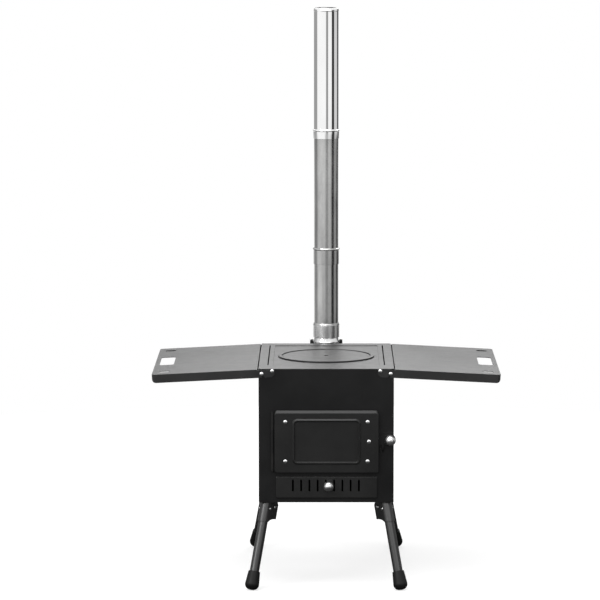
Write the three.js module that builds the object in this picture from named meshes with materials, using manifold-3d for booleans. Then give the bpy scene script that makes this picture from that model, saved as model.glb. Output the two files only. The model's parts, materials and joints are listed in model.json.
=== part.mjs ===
// Portable tent wood stove: sheet steel body on four folding legs, fold-up side shelves,
// hinged door with a turning latch, ash drawer, lift-off cooking lid and a three-piece chimney.
// Units are millimetres. +X is to the right of someone facing the door, +Y is away from them, +Z is up.
// While it is built, the body's centre stands over the origin. The last lines move the whole stove so
// that the origin is under the centre of its outline.

import * as THREE from 'three';
import { mergeVertices } from 'three/addons/utils/BufferGeometryUtils.js';
import Module from 'manifold-3d';

const wasm = await Module();
wasm.setup();

// ---- Fits shared by many pieces ----
const seam = 0.3;                  // gap between faces that touch
const pinPlay = 0.3;               // radial play of a pin or rivet in its hole

// ---- Body ----
const bodyWidth = 316;             // over the side panels
const bodyDepth = 450;             // over the front and rear panels
const bodyHeight = 314;            // height of the four panels
const underHeight = 200;           // ground to the underside of the floor
const sheet = 1.5;                 // body sheet
const panelFlange = 10;            // folded edge of a side panel
const flangeStopTop = 26;          // the folded edge ends this far under the panel's top
const floorLip = 12;               // upturned rim of the floor
const flangeStopBottom = 4;        // the folded edge starts this far above the floor's rim

// ---- Cooking plate and lid ----
const plateWidth = 316.4;
const plateThickness = 1.5;
const dishWidth = 250;             // pressed-in middle of the plate
const dishLength = 362;
const dishDepth = 1.2;
const dishShift = 4;               // it lies this far behind the plate's centre
const plateRimDrop = 9;            // locating rim under the plate
const plateRimInset = 8;           // rim to the inside of the panels
const cookHoleRadius = 100;
const slotOffset = 137;            // expansion slot from the plate's centre plane
const slotWidth = 2.8;
const slotLength = 348;
const slotShift = 13;              // slots lie this far behind the plate's centre
const lidRadius = 115;
const lidThickness = 3.2;          // rim
const lidSheet = 1.6;              // sunk middle
const lidRimWidth = 9.5;
const lidSpigotDepth = 8;
const lidSpigotWall = 2;
const lidPlay = 2.5;               // spigot to the plate's hole
const liftHoleRadius = 5.5;

// ---- Flue outlet ----
const flueSetback = 45;            // chimney axis behind the rear panel
const flueBoxWidth = 96;
const flueBoxDepth = 87;
const flueBoxHeight = 100;
const flueDeckDrop = 10;           // deck of the flue box under the panels' top edge
const flueWeldFlange = 10;
const flueHoleRadius = 28;
const collarRadius = 32.5;         // outside of the socket
const collarWall = 1.3;
const collarTop = 53;              // collar's upper edge above the flange's underside
const flangeThickness = 2.5;
const flangeEarReach = 41;         // chimney axis to the end of an ear
const flangeEarRadius = 6;
const neckRadius = 28.7;           // outside of the flange's neck, inside the lower pipe
const neckWall = 1.7;
const neckHeight = 25;
const collarRise = 21.6;           // collar's lower edge above the flange's underside
const flangeEarHeight = 18.5;
const flangeScrewX = 37.4;         // chimney axis to a screw
const flangeScrewRadius = 2;
const flangeScrewHead = 4.2;

// ---- Chimney ----
const pipeRadius = 30;
const pipeWall = 0.9;
const socketDepth = 26;            // lower pipe inside the collar
const beadSwell = 2.6;             // how far a bead stands out of the pipe
const beadHalf = 2.4;              // half of a bead's length
const lowerPipeLength = 187;       // from the bead that rests on the collar to the top edge
const middlePipeLength = 292;      // from its shoulder to its top edge
const topPipeLength = 300;         // from its shoulder to its top edge
const middleSkirt = 37;            // overlap over the lower pipe
const topSkirt = 20;               // overlap over the middle pipe
const crimpLength = 9;             // rounded top end of the chimney
const crimpDepth = 1.6;

// ---- Shelves ----
const shelfPivotX = 126.2;         // pivot rivet from the centre plane
const shelfPivotDrop = 3.6;        // pivot rivet under the panels' top edge
const shelfStopX = 24.5;           // stop stud outward of the pivot
const shelfStopDrop = 6.5;         // stop stud under the pivot
const shelfDroop = 2.9;            // degrees that a shelf hangs down when it rests on its stop
const shelfReach = 281.5;          // pivot to the outer edge
const shelfInner = 34.4;           // pivot to the inner edge of the tray surface
const shelfInnerFold = 12;         // depth of the turned-down inner edge
const shelfRise = 5.8;             // tray surface above the pivot
const shelfSheet = 1.5;
const shelfApron = 20;             // height of the turned-down edge
const shelfSidePlay = 0.5;         // apron to the body's front and rear faces
const shelfCorner = 9;
const earReach = 5.4;              // ear inward of the pivot
const earChamfer = 7;
const earTopDrop = 1.9;            // ear's top edge under the tray surface
const gripLength = 136;
const gripWidth = 34;
const gripInset = 28;              // grip's centre line from the outer edge
const ventLength = 26;
const ventWidth = 18;
const ventSpread = 182;            // small slots from the shelf's centre line
const shelfRivetRadius = 2;
const shelfRivetHead = 4.8;
const shelfRivetHeadHeight = 2.6;

// ---- Door ----
const doorWidth = 243.5;
const doorHeight = 146.6;
const doorCentreX = 0.7;
const doorRise = 145.3;            // door's centre above the body's underside
const doorStandoff = 4.2;          // back edge of the door to the front panel
const doorDepth = 7.2;
const doorBevel = 6;
const doorCorner = 7;
const doorSheet = 1.5;
const doorLap = 9;                 // door over each edge of its opening
const doorBeadWidth = 161;
const doorBeadHeight = 108.4;
const doorBeadCorner = 11;
const doorBeadBand = 7.5;
const doorBeadRise = 3.2;
const doorRivetX = 96.2;
const doorRivetZ = 46.6;
const doorRivetShank = 2;
const doorRivetHead = 5;
const doorRivetHeadHeight = 2.4;
const linerInset = 3.5;            // liner inside the door's rim
const hingeRadius = 4;
const hingeRodRadius = 2;
const hingeEdgeGap = 0.5;          // knuckles to the door's edge
const hingeKnuckle = 40;           // each fixed knuckle
const hingeMiddle = 58;            // the door's own knuckle
const hingeRodHead = 3;

// ---- Latch ----
const latchX = 99.9;               // latch rivet from the centre plane
const latchLift = 5;               // degrees that the bar rises towards its knob
const latchReach = 50.3;           // rivet to the knob's centre
const latchBarWidth = 25;
const latchBarThickness = 3;
const latchTail = 10.5;             // bar radius round its rivet
const catchPlate = 2.5;
const catchX = 132.6;              // centre of the hook plate
const catchBottomDrop = 26.9;      // hook's lower end under the door's centre
const catchLipDrop = 9.7;          // hook's lip under the door's centre
const catchNotch = 6;              // lip above the hook's seat
const knobRadius = 12.4;
const knobNeck = 5;
const knobStem = 3;

// ---- Ash drawer ----
const drawerWidth = 237;
const drawerHeight = 51;
const drawerRise = 36.4;           // drawer's centre above the body's underside
const drawerProud = 5;             // front plate in front of the body
const drawerLap = 5;               // front plate over each side of its opening
const drawerLapZ = 4;              // front plate over the opening's top and bottom
const drawerCorner = 3;
const drawerSheet = 1.5;
const airSlots = 9;
const airSlotPitch = 19.3;
const airSlotWidth = 4.3;
const airSlotLength = 28.7;
const airSlotRise = 4.5;           // slots above the plate's centre
const airSlotShift = -1.5;
const drawerKnobShift = 5.1;       // knob right of the plate's centre
const trayLength = 380;
const trayHeight = 34;
const traySide = 1.5;              // tray to each side of its opening
const trayLipHeight = 9;
const runnerLedge = 12;
const runnerPlay = 1.2;
const runnerGuide = 12;
const runnerEndGap = 60;           // runner ends this far in front of the rear panel

// ---- Grate ----
const grateRise = 67;              // grate's top above the body's underside
const grateThickness = 2.5;
const grateWidth = 284;
const grateLength = 410;
const grateSlotCount = 13;
const grateSlotPitch = 19;
const grateSlotWidth = 8;
const grateSlotLength = 320;

// ---- Legs ----
const legTurn = 28;                // degrees between a leg's plane and the Y axis
const legTilt = 21;                // degrees that a leg leans out
const footX = 175.8;               // foot's centre from the centre plane
const footY = 273.6;               // foot's centre in front of or behind the centre
const legPivotDrop = 17;           // pivot pin under the floor
const legTubeRadius = 11;
const legTubeWall = 1.2;
const legTubeOffset = 22;          // pivot pin to the tube's axis
const bracketPlate = 2;
const bracketEdge = 14;            // cheeks inward of the pivot
const bracketLength = 41;
const bracketInnerLength = 26;
const legPinRadius = 2.5;
const legPinHead = 4.3;
const legPinHeadHeight = 2;
const lugRadius = 7;
const lugEar = 2.5;
const capTopRadius = 13.8;
const capBottomRadius = 16.6;
const capRound = 9;
const capLength = 44;
const capBore = 34;                // tube inside the cap
const soleDip = 3.3;               // how far the sole is cut into the cap's round end

// ---- Finishes ----
const blackPaint = new THREE.MeshStandardMaterial({ color: 0x1c1c1d, roughness: 0.55, metalness: 0.2 });
const darkPaint = new THREE.MeshStandardMaterial({ color: 0x151516, roughness: 0.7, metalness: 0.2 });
const satinSteel = new THREE.MeshStandardMaterial({ color: 0xa6a6a4, roughness: 0.35, metalness: 1 });
const brightSteel = new THREE.MeshStandardMaterial({ color: 0xd8d8d8, roughness: 0.12, metalness: 1 });
const blackRubber = new THREE.MeshStandardMaterial({ color: 0x141414, roughness: 0.85, metalness: 0 });

// ---- Levels that many pieces share ----
const floorTopZ = underHeight + sheet;
const panelTopZ = underHeight + bodyHeight;
const plateBottomZ = panelTopZ + seam;
const plateTopZ = plateBottomZ + plateThickness;
const doorCentreZ = underHeight + doorRise;
const drawerCentreZ = underHeight + drawerRise;
const grateTopZ = underHeight + grateRise;
const catchBottomZ = doorCentreZ - catchBottomDrop;
const catchLipTopZ = doorCentreZ - catchLipDrop;
const frontY = -bodyDepth / 2;
const rearY = bodyDepth / 2;
const innerX = bodyWidth / 2 - sheet;
const innerY = bodyDepth / 2 - sheet;

// ---- Shape tools ----

// A closed triangle mesh as a solid, facing out.
function toSolid(geometry) {
  const bare = geometry.index ? geometry.toNonIndexed() : geometry.clone();
  bare.deleteAttribute('normal');
  bare.deleteAttribute('uv');
  const merged = mergeVertices(bare, 1e-4);
  const index = merged.index.array;
  const kept = [];
  for (let i = 0; i < index.length; i += 3) {
    const [a, b, c] = [index[i], index[i + 1], index[i + 2]];
    if (a !== b && b !== c && c !== a) kept.push(a, b, c);
  }
  const vertices = new Float32Array(merged.attributes.position.array);
  if (signedVolume(vertices, kept) < 0) {
    for (let i = 0; i < kept.length; i += 3) {
      [kept[i + 1], kept[i + 2]] = [kept[i + 2], kept[i + 1]];
    }
  }
  const triVerts = new Uint32Array(kept);
  return new wasm.Manifold(new wasm.Mesh({ numProp: 3, vertProperties: vertices, triVerts }));
}

function signedVolume(vertices, index) {
  let sum = 0;
  const [a, b, c] = [new THREE.Vector3(), new THREE.Vector3(), new THREE.Vector3()];
  for (let i = 0; i < index.length; i += 3) {
    a.fromArray(vertices, 3 * index[i]);
    b.fromArray(vertices, 3 * index[i + 1]);
    c.fromArray(vertices, 3 * index[i + 2]);
    sum += a.dot(b.cross(c));
  }
  return sum;
}

function toGeometry(solid) {
  const mesh = solid.getMesh();
  const geometry = new THREE.BufferGeometry();
  geometry.setAttribute('position', new THREE.BufferAttribute(new Float32Array(mesh.vertProperties), 3));
  geometry.setIndex(new THREE.BufferAttribute(new Uint32Array(mesh.triVerts), 1));
  return geometry;
}

function piece(name, solid, material) {
  const mesh = new THREE.Mesh(toGeometry(solid), material);
  mesh.name = name;
  return mesh;
}

// A block between two limits on each axis.
function block(x, y, z) {
  const geometry = new THREE.BoxGeometry(x[1] - x[0], y[1] - y[0], z[1] - z[0]);
  geometry.translate((x[0] + x[1]) / 2, (y[0] + y[1]) / 2, (z[0] + z[1]) / 2);
  return toSolid(geometry);
}

function roundedRect(width, height, radius, centreX = 0, centreY = 0, PathClass = THREE.Shape) {
  const [w, h, r] = [width / 2, height / 2, Math.max(0.01, Math.min(radius, width / 2 - 0.01, height / 2 - 0.01))];
  const path = new PathClass();
  path.moveTo(centreX + w, centreY - h + r);
  path.lineTo(centreX + w, centreY + h - r);
  path.absarc(centreX + w - r, centreY + h - r, r, 0, Math.PI / 2);
  path.lineTo(centreX - w + r, centreY + h);
  path.absarc(centreX - w + r, centreY + h - r, r, Math.PI / 2, Math.PI);
  path.lineTo(centreX - w, centreY - h + r);
  path.absarc(centreX - w + r, centreY - h + r, r, Math.PI, Math.PI * 1.5);
  path.lineTo(centreX + w - r, centreY - h);
  path.absarc(centreX + w - r, centreY - h + r, r, Math.PI * 1.5, Math.PI * 2);
  return path;
}

function circlePath(x, y, radius) {
  const path = new THREE.Path();
  path.absarc(x, y, radius, 0, Math.PI * 2, true);
  return path;
}

// The corners of a path whose arcs become straight steps, so many to a quarter turn.
function pathPoints(path, perQuarter) {
  const points = [];
  for (const curve of path.curves) {
    let steps = curve.isLineCurve ? 1 : 2 * perQuarter;
    if (curve.isEllipseCurve) {
      const turned = Math.abs(curve.aEndAngle - curve.aStartAngle);
      steps = Math.max(1, Math.ceil((turned * perQuarter) / (Math.PI / 2) - 1e-6));
    }
    for (let i = 0; i <= steps; i += 1) points.push(curve.getPoint(i / steps));
  }
  return points.filter((p, i) => p.distanceTo(points[(i + 1) % points.length]) > 1e-3);
}

// Extrusions: a shape drawn in XY runs along Z, one drawn in XZ along Y, one drawn in YZ along X.
function extruded(shape, depth, perQuarter) {
  const plain = new THREE.Shape(pathPoints(shape, perQuarter));
  plain.holes = shape.holes.map((hole) => new THREE.Path(pathPoints(hole, perQuarter)));
  return new THREE.ExtrudeGeometry(plain, { depth, bevelEnabled: false, curveSegments: 1 });
}

function extrudeZ(shape, low, high, perQuarter = 3) {
  const geometry = extruded(shape, high - low, perQuarter);
  geometry.translate(0, 0, low);
  return toSolid(geometry);
}

function extrudeY(shape, low, high, perQuarter = 3) {
  const geometry = extruded(shape, high - low, perQuarter);
  geometry.rotateX(Math.PI / 2);
  geometry.translate(0, high, 0);
  return toSolid(geometry);
}

function extrudeX(shape, low, high, perQuarter = 3) {
  const geometry = extruded(shape, high - low, perQuarter);
  const turn = new THREE.Matrix4().makeBasis(
    new THREE.Vector3(0, 1, 0), new THREE.Vector3(0, 0, 1), new THREE.Vector3(1, 0, 0));
  geometry.applyMatrix4(turn);
  geometry.translate(low, 0, 0);
  return toSolid(geometry);
}

// A profile of [radius, height] pairs turned about the Z axis.
function revolve(profile, segments) {
  const points = profile.map(([r, z]) => new THREE.Vector2(r, z));
  const geometry = new THREE.LatheGeometry(points, segments);
  geometry.rotateX(Math.PI / 2);
  return toSolid(geometry);
}

// The same for a ring whose profile doesn't reach the axis.
function revolveRing(profile, segments) {
  return revolve([...profile, profile[0]], segments);
}

function cylinderZ(radius, low, high, segments = 16, x = 0, y = 0) {
  const geometry = new THREE.CylinderGeometry(radius, radius, high - low, segments);
  geometry.rotateX(Math.PI / 2);
  geometry.translate(x, y, (low + high) / 2);
  return toSolid(geometry);
}

function cylinderX(radius, low, high, segments = 16, y = 0, z = 0) {
  const geometry = new THREE.CylinderGeometry(radius, radius, high - low, segments);
  geometry.rotateZ(Math.PI / 2);
  geometry.translate((low + high) / 2, y, z);
  return toSolid(geometry);
}

function cylinderY(radius, low, high, segments = 16, x = 0, z = 0) {
  const geometry = new THREE.CylinderGeometry(radius, radius, high - low, segments);
  geometry.translate(x, (low + high) / 2, z);
  return toSolid(geometry);
}

// Points of a rounded rectangle in XZ at depth y, for lofts.
function rectRing(width, height, radius, y, arc = 3) {
  const ring = [];
  const [w, h, r] = [width / 2, height / 2, Math.max(radius, 0.05)];
  const corners = [[w - r, h - r, 0], [r - w, h - r, 90], [r - w, r - h, 180], [w - r, r - h, 270]];
  for (const [cx, cz, start] of corners) {
    for (let i = 0; i <= arc; i += 1) {
      const angle = THREE.MathUtils.degToRad(start + (90 * i) / arc);
      ring.push([cx + r * Math.cos(angle), y, cz + r * Math.sin(angle)]);
    }
  }
  return ring;
}

// Rings with the same number of points, joined in order. A closed loft joins its last ring to its
// first, and an open one has a flat end at each side.
function loft(rings, closed = false) {
  const count = rings[0].length;
  const vertices = rings.flat(2);
  const index = [];
  const last = closed ? rings.length : rings.length - 1;
  for (let i = 0; i < last; i += 1) {
    const next = (i + 1) % rings.length;
    for (let j = 0; j < count; j += 1) {
      const k = (j + 1) % count;
      index.push(i * count + j, i * count + k, next * count + k);
      index.push(i * count + j, next * count + k, next * count + j);
    }
  }
  if (!closed) {
    for (let j = 1; j < count - 1; j += 1) {
      index.push(0, j + 1, j);
      const base = (rings.length - 1) * count;
      index.push(base, base + j, base + j + 1);
    }
  }
  const geometry = new THREE.BufferGeometry();
  geometry.setAttribute('position', new THREE.BufferAttribute(new Float32Array(vertices), 3));
  geometry.setIndex(index);
  return toSolid(geometry);
}

// A domed rivet on its own axis: the head's underside is at 0, the head is above, the grip below.
function rivetSolid(shank, grip, head, headHeight, tail, tailHeight) {
  const profile = [[0, headHeight]];
  for (let i = 1; i <= 3; i += 1) {
    const angle = (Math.PI / 2) * (i / 3);
    profile.push([head * Math.sin(angle), headHeight * (0.25 + 0.75 * Math.cos(angle))]);
  }
  profile.push([head, 0], [shank, 0], [shank, -grip], [tail, -grip], [tail, -grip - tailHeight]);
  profile.push([0, -grip - tailHeight]);
  return revolve(profile, 8);
}

// A ball knob on its own axis: its foot is at 0, and the stud below passes through the plate.
function knobSolid(studLength, nutRadius, nutHeight) {
  const neckLength = 4;
  const centre = neckLength + knobRadius - 0.8;
  const profile = [[0, centre + knobRadius]];
  const steps = 5;
  const neckAngle = Math.asin((knobNeck - 1) / knobRadius);
  for (let i = 1; i <= steps; i += 1) {
    const angle = (Math.PI - neckAngle) * (i / steps);
    profile.push([knobRadius * Math.sin(angle), centre + knobRadius * Math.cos(angle)]);
  }
  profile.push([knobNeck - 1, 2], [knobNeck, 1.4], [knobNeck, 0], [knobStem, 0], [knobStem, -studLength]);
  if (nutRadius > 0) profile.push([nutRadius, -studLength], [nutRadius, -studLength - nutHeight]);
  profile.push([0, -studLength - (nutRadius > 0 ? nutHeight : 0)]);
  return revolve(profile, 14);
}

// Turns a piece whose own axis is +Z so that it points at the viewer.
function faceFront(mesh, x, y, z) {
  mesh.rotation.x = Math.PI / 2;
  mesh.position.set(x, y, z);
  return mesh;
}

function faceRear(mesh, x, y, z) {
  mesh.rotation.x = -Math.PI / 2;
  mesh.position.set(x, y, z);
  return mesh;
}

// ---- Body panels ----

const shelfPivotZ = panelTopZ - shelfPivotDrop;
const shelfStopZ = shelfPivotZ - shelfStopDrop;

function shelfRivetHoles() {
  const holes = [];
  for (const side of [-1, 1]) {
    holes.push(circlePath(side * shelfPivotX, shelfPivotZ, shelfRivetRadius + pinPlay));
    holes.push(circlePath(side * (shelfPivotX + shelfStopX), shelfStopZ, shelfRivetRadius + pinPlay));
  }
  return holes;
}

function sidePanel() {
  const endY = innerY - seam;
  const shape = new THREE.Shape();
  const outer = bodyWidth / 2;
  const flangeX = outer - sheet - panelFlange;
  shape.moveTo(outer, -endY);
  shape.lineTo(outer, endY);
  shape.lineTo(flangeX, endY);
  shape.lineTo(flangeX, endY - sheet);
  shape.lineTo(innerX, endY - sheet);
  shape.lineTo(innerX, -endY + sheet);
  shape.lineTo(flangeX, -endY + sheet);
  shape.lineTo(flangeX, -endY);
  const channel = extrudeZ(shape, underHeight, panelTopZ);
  const cutX = [flangeX - 1, innerX];
  const cutY = [-endY - 1, endY + 1];
  const top = block(cutX, cutY, [panelTopZ - flangeStopTop, panelTopZ + 1]);
  const bottomZ = underHeight + floorLip + flangeStopBottom;
  const bottom = block(cutX, cutY, [underHeight - 1, bottomZ]);
  return channel.subtract(top).subtract(bottom);
}

const drawerBottomZ = drawerCentreZ - drawerHeight / 2 + drawerLapZ;
const drawerTopZ = drawerCentreZ + drawerHeight / 2 - drawerLapZ;
const drawerOpeningWidth = drawerWidth - 2 * drawerLap;

function frontPanel() {
  const shape = roundedRect(bodyWidth, bodyHeight, 1, 0, underHeight + bodyHeight / 2);
  shape.holes.push(roundedRect(doorWidth - 2 * doorLap, doorHeight - 2 * doorLap, 4,
    doorCentreX, doorCentreZ, THREE.Path));
  shape.holes.push(roundedRect(drawerOpeningWidth, drawerTopZ - drawerBottomZ, 2,
    doorCentreX, (drawerTopZ + drawerBottomZ) / 2, THREE.Path));
  shape.holes.push(...shelfRivetHoles());
  return extrudeY(shape, frontY, frontY + sheet);
}

const flueDeckZ = panelTopZ - flueDeckDrop;
const flueMouthInset = 8;          // outlet opening inside the flue box's walls

function rearPanel() {
  const shape = roundedRect(bodyWidth, bodyHeight, 1, 0, underHeight + bodyHeight / 2);
  const mouthWidth = flueBoxWidth - 2 * flueMouthInset;
  const mouthHeight = flueBoxHeight - 2 * flueMouthInset;
  shape.holes.push(roundedRect(mouthWidth, mouthHeight, 4, 0, flueDeckZ - flueBoxHeight / 2, THREE.Path));
  shape.holes.push(...shelfRivetHoles());
  return extrudeY(shape, rearY - sheet, rearY);
}

function floorPanel() {
  const [x, y] = [innerX - seam, innerY - seam];
  const tray = block([-x, x], [-y, y], [underHeight, underHeight + floorLip]);
  const inside = block([-x + sheet, x - sheet], [-y + sheet, y - sheet], [floorTopZ, underHeight + floorLip + 1]);
  return tray.subtract(inside);
}

// ---- Cooking plate and lid ----

const dishFloorZ = plateTopZ - dishDepth;

function topPlate() {
  const plate = extrudeZ(roundedRect(plateWidth, bodyDepth, 3), plateBottomZ, plateTopZ, 2);
  const [x, y] = [innerX - plateRimInset, innerY - plateRimInset];
  const rimZ = [plateBottomZ - plateRimDrop, plateBottomZ + 0.5];
  const rim = block([-x, x], [-y, y], rimZ);
  const inside = block([-x + sheet, x - sheet], [-y + sheet, y - sheet], [rimZ[0] - 1, rimZ[1] + 1]);
  const dish = roundedRect(dishWidth, dishLength, 4, 0, dishShift);
  const under = roundedRect(dishWidth + 2 * sheet, dishLength + 2 * sheet, 5, 0, dishShift);
  let solid = plate.add(extrudeZ(under, plateBottomZ - dishDepth, plateBottomZ + 0.2, 2));
  solid = solid.subtract(extrudeZ(dish, dishFloorZ, plateTopZ + 1, 2));
  const hole = cylinderZ(cookHoleRadius, plateBottomZ - dishDepth - 1, plateTopZ + 1, 48);
  solid = solid.subtract(hole).add(rim.subtract(inside));
  for (const side of [-1, 1]) {
    const slot = roundedRect(slotWidth, slotLength, slotWidth / 2, side * slotOffset, slotShift);
    solid = solid.subtract(extrudeZ(slot, plateBottomZ - 1, plateTopZ + 1, 2));
  }
  return solid;
}

function lidSolid() {
  const bottom = dishFloorZ + seam;
  const top = bottom + lidThickness;
  const spigot = cookHoleRadius - lidPlay;
  const profile = [
    [liftHoleRadius, bottom + lidSheet],
    [lidRadius - lidRimWidth, bottom + lidSheet],
    [lidRadius - lidRimWidth + 0.4, top - 0.3],
    [lidRadius - lidRimWidth + 1, top],
    [lidRadius - 0.9, top],
    [lidRadius, top - 0.9],
    [lidRadius, bottom],
    [spigot, bottom],
    [spigot, bottom - lidSpigotDepth],
    [spigot - lidSpigotWall, bottom - lidSpigotDepth],
    [spigot - lidSpigotWall, bottom],
    [liftHoleRadius, bottom],
  ];
  return revolveRing(profile, 36);
}

// ---- Flue outlet ----

const flueY = rearY + flueSetback;

function flueBox() {
  const front = rearY + seam;
  const half = flueBoxDepth / 2;
  const back = flueY + half;
  const w = flueBoxWidth / 2;
  const bottomZ = flueDeckZ - flueBoxHeight;
  const shell = block([-w, w], [front, back], [bottomZ, flueDeckZ]);
  const flangeShape = roundedRect(flueBoxWidth + 2 * flueWeldFlange, flueBoxHeight + flueWeldFlange, 5,
    0, flueDeckZ - (flueBoxHeight + flueWeldFlange) / 2);
  const flange = extrudeY(flangeShape, front, front + sheet);
  const inside = block([-w + sheet, w - sheet], [front - 1, back - sheet], [bottomZ + sheet, flueDeckZ - sheet]);
  const outlet = cylinderZ(flueHoleRadius, flueDeckZ - sheet - 1, flueDeckZ + 1, 32, 0, flueY);
  let solid = shell.add(flange).subtract(inside).subtract(outlet);
  for (const side of [-1, 1]) {
    solid = solid.subtract(cylinderZ(flangeScrewRadius + pinPlay, flueDeckZ - sheet - 1, flueDeckZ + 1, 12,
      side * flangeScrewX, flueY));
  }
  return solid;
}

const flangeBottomZ = flueDeckZ + seam;

function flueFlange() {
  const neckTop = flangeBottomZ + neckHeight;
  const bore = neckRadius - neckWall;
  const plateShape = new THREE.Shape();
  plateShape.absellipse(0, 0, flangeEarReach, flueBoxDepth / 2 - 6, 0, Math.PI * 2);
  const plate = extrudeZ(plateShape, flangeBottomZ, flangeBottomZ + flangeThickness, 8);
  let solid = plate.add(cylinderZ(neckRadius, flangeBottomZ, neckTop, 32));
  for (const side of [-1, 1]) {
    const x = side * (flangeEarReach - flangeEarRadius);
    solid = solid.add(cylinderZ(flangeEarRadius, flangeBottomZ, flangeBottomZ + flangeEarHeight, 16, x, 0));
  }
  solid = solid.subtract(cylinderZ(bore, flangeBottomZ - 1, neckTop + 1, 32));
  for (const side of [-1, 1]) {
    const hole = cylinderZ(flangeScrewRadius + pinPlay, flangeBottomZ - 1, neckTop + 1, 10, side * flangeScrewX, 0);
    solid = solid.subtract(hole);
  }
  return solid;
}

function flangeScrew() {
  const grip = flangeEarHeight + 2 * seam + sheet;
  return rivetSolid(flangeScrewRadius, grip + seam, flangeScrewHead, 2, flangeScrewRadius + 2, 2);
}

// The collar's lower edge is turned in to the neck.
function flueCollar() {
  const inner = collarRadius - collarWall;
  const foot = flangeBottomZ + collarRise;
  return revolveRing([
    [neckRadius + seam, foot],
    [collarRadius - 1, foot],
    [collarRadius, foot + 1],
    [collarRadius, flangeBottomZ + collarTop],
    [inner, flangeBottomZ + collarTop],
    [inner, foot + collarWall],
    [neckRadius + seam, foot + collarWall],
  ], 32);
}

// ---- Chimney pipes, each built from its own lower shoulder at height 0 ----

function beadProfile(radius, z) {
  return [
    [radius, z - beadHalf],
    [radius + beadSwell * 0.75, z - beadHalf * 0.6],
    [radius + beadSwell, z],
    [radius + beadSwell * 0.75, z + beadHalf * 0.6],
    [radius, z + beadHalf],
  ];
}

function lowerPipe() {
  const inner = pipeRadius - pipeWall;
  const z = beadHalf;
  const profile = [[inner, -socketDepth], [pipeRadius, -socketDepth], [pipeRadius, 0]];
  profile.push([collarRadius, 0], [pipeRadius + beadSwell, z], [pipeRadius + beadSwell * 0.75, z * 1.6]);
  profile.push([pipeRadius, 2 * z], [pipeRadius, lowerPipeLength], [inner, lowerPipeLength]);
  return revolveRing(profile, 24);
}

// The lower end is widened over the pipe below, which ends at the shoulder inside the bead.
function upperPipe(length, skirt, crimped) {
  const inner = pipeRadius - pipeWall;
  const socket = pipeRadius + 2 * seam;
  const skirtOuter = socket + pipeWall;
  const profile = [
    [inner, 0], [socket, 0], [socket, -skirt], [skirtOuter, -skirt],
    ...beadProfile(skirtOuter, 0).slice(0, 4),
    [pipeRadius, beadHalf + 1],
  ];
  if (crimped) {
    profile.push([pipeRadius, length - crimpLength]);
    profile.push([pipeRadius + 0.5, length - crimpLength + 1]);
    profile.push([pipeRadius + 0.5, length - crimpLength + 4]);
    profile.push([pipeRadius - crimpDepth * 0.4, length - 1.6]);
    profile.push([pipeRadius - crimpDepth, length]);
    profile.push([inner - crimpDepth, length]);
    profile.push([inner - crimpDepth * 0.4, length - crimpLength + 4]);
    profile.push([inner, length - crimpLength]);
  } else {
    profile.push([pipeRadius, length], [inner, length]);
  }
  return revolveRing(profile, 24);
}

const collarTopZ = flangeBottomZ + collarTop;
const lowerPipeZ = collarTopZ + seam;
const middlePipeZ = lowerPipeZ + lowerPipeLength + seam;
const topPipeZ = middlePipeZ + middlePipeLength + seam;

// ---- Grate ----

function grateSolid() {
  const w = grateWidth / 2;
  const l = grateLength / 2;
  const shape = roundedRect(grateWidth, grateLength, 2);
  const first = -((grateSlotCount - 1) * grateSlotPitch) / 2;
  for (let i = 0; i < grateSlotCount; i += 1) {
    const x = first + i * grateSlotPitch;
    shape.holes.push(roundedRect(grateSlotWidth, grateSlotLength, grateSlotWidth / 2, x, 0, THREE.Path));
  }
  const top = extrudeZ(shape, grateTopZ - grateThickness, grateTopZ, 2);
  const legZ = [floorTopZ + seam, grateTopZ - 0.5];
  const left = block([-w, -w + grateThickness], [-l + 2, l - 2], legZ);
  const right = block([w - grateThickness, w], [-l + 2, l - 2], legZ);
  return top.add(left).add(right);
}

// ---- Ash drawer ----

const drawerRimY = frontY - seam;
const drawerFaceY = drawerRimY - drawerProud;
const trayHalf = drawerOpeningWidth / 2 - traySide;
const trayBottomZ = drawerBottomZ + 0.8;

function drawerFront() {
  const outer = loft([
    rectRing(drawerWidth, drawerHeight, drawerCorner, drawerRimY),
    rectRing(drawerWidth, drawerHeight, drawerCorner, drawerFaceY + 1.5),
    rectRing(drawerWidth - 2, drawerHeight - 2, drawerCorner, drawerFaceY + 0.4),
    rectRing(drawerWidth - 4, drawerHeight - 4, drawerCorner, drawerFaceY),
  ]);
  const inner = loft([
    rectRing(drawerWidth - 2 * drawerSheet, drawerHeight - 2 * drawerSheet, drawerCorner - 1, drawerRimY + 1),
    rectRing(drawerWidth - 2 * drawerSheet, drawerHeight - 2 * drawerSheet, drawerCorner - 1,
      drawerFaceY + drawerSheet),
  ]);
  let solid = outer.subtract(inner).translate([doorCentreX, 0, drawerCentreZ]);
  const slotZ = drawerCentreZ + airSlotRise;
  for (let i = 0; i < airSlots; i += 1) {
    const x = doorCentreX + airSlotShift + (i - (airSlots - 1) / 2) * airSlotPitch;
    const slot = roundedRect(airSlotWidth, airSlotLength, airSlotWidth / 2, x, slotZ);
    solid = solid.subtract(extrudeY(slot, drawerFaceY - 1, drawerRimY + 1, 2));
  }
  const knobX = doorCentreX + drawerKnobShift;
  return solid.subtract(cylinderY(knobStem + pinPlay, drawerFaceY - 1, drawerRimY + 1, 16, knobX, slotZ));
}

function ashTray() {
  const front = drawerFaceY + drawerSheet + seam;
  const back = front + trayLength;
  const x = [doorCentreX - trayHalf, doorCentreX + trayHalf];
  const z = [trayBottomZ, trayBottomZ + trayHeight];
  const wall = 1.2;
  const shell = block(x, [front, back], z);
  const inside = block([x[0] + wall, x[1] - wall], [front + wall, back - wall], [z[0] + wall, z[1] + 1]);
  const doorway = block([x[0] + wall, x[1] - wall], [front - 1, front + wall + 1], [z[0] + trayLipHeight, z[1] + 1]);
  return shell.subtract(inside).subtract(doorway);
}

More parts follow.
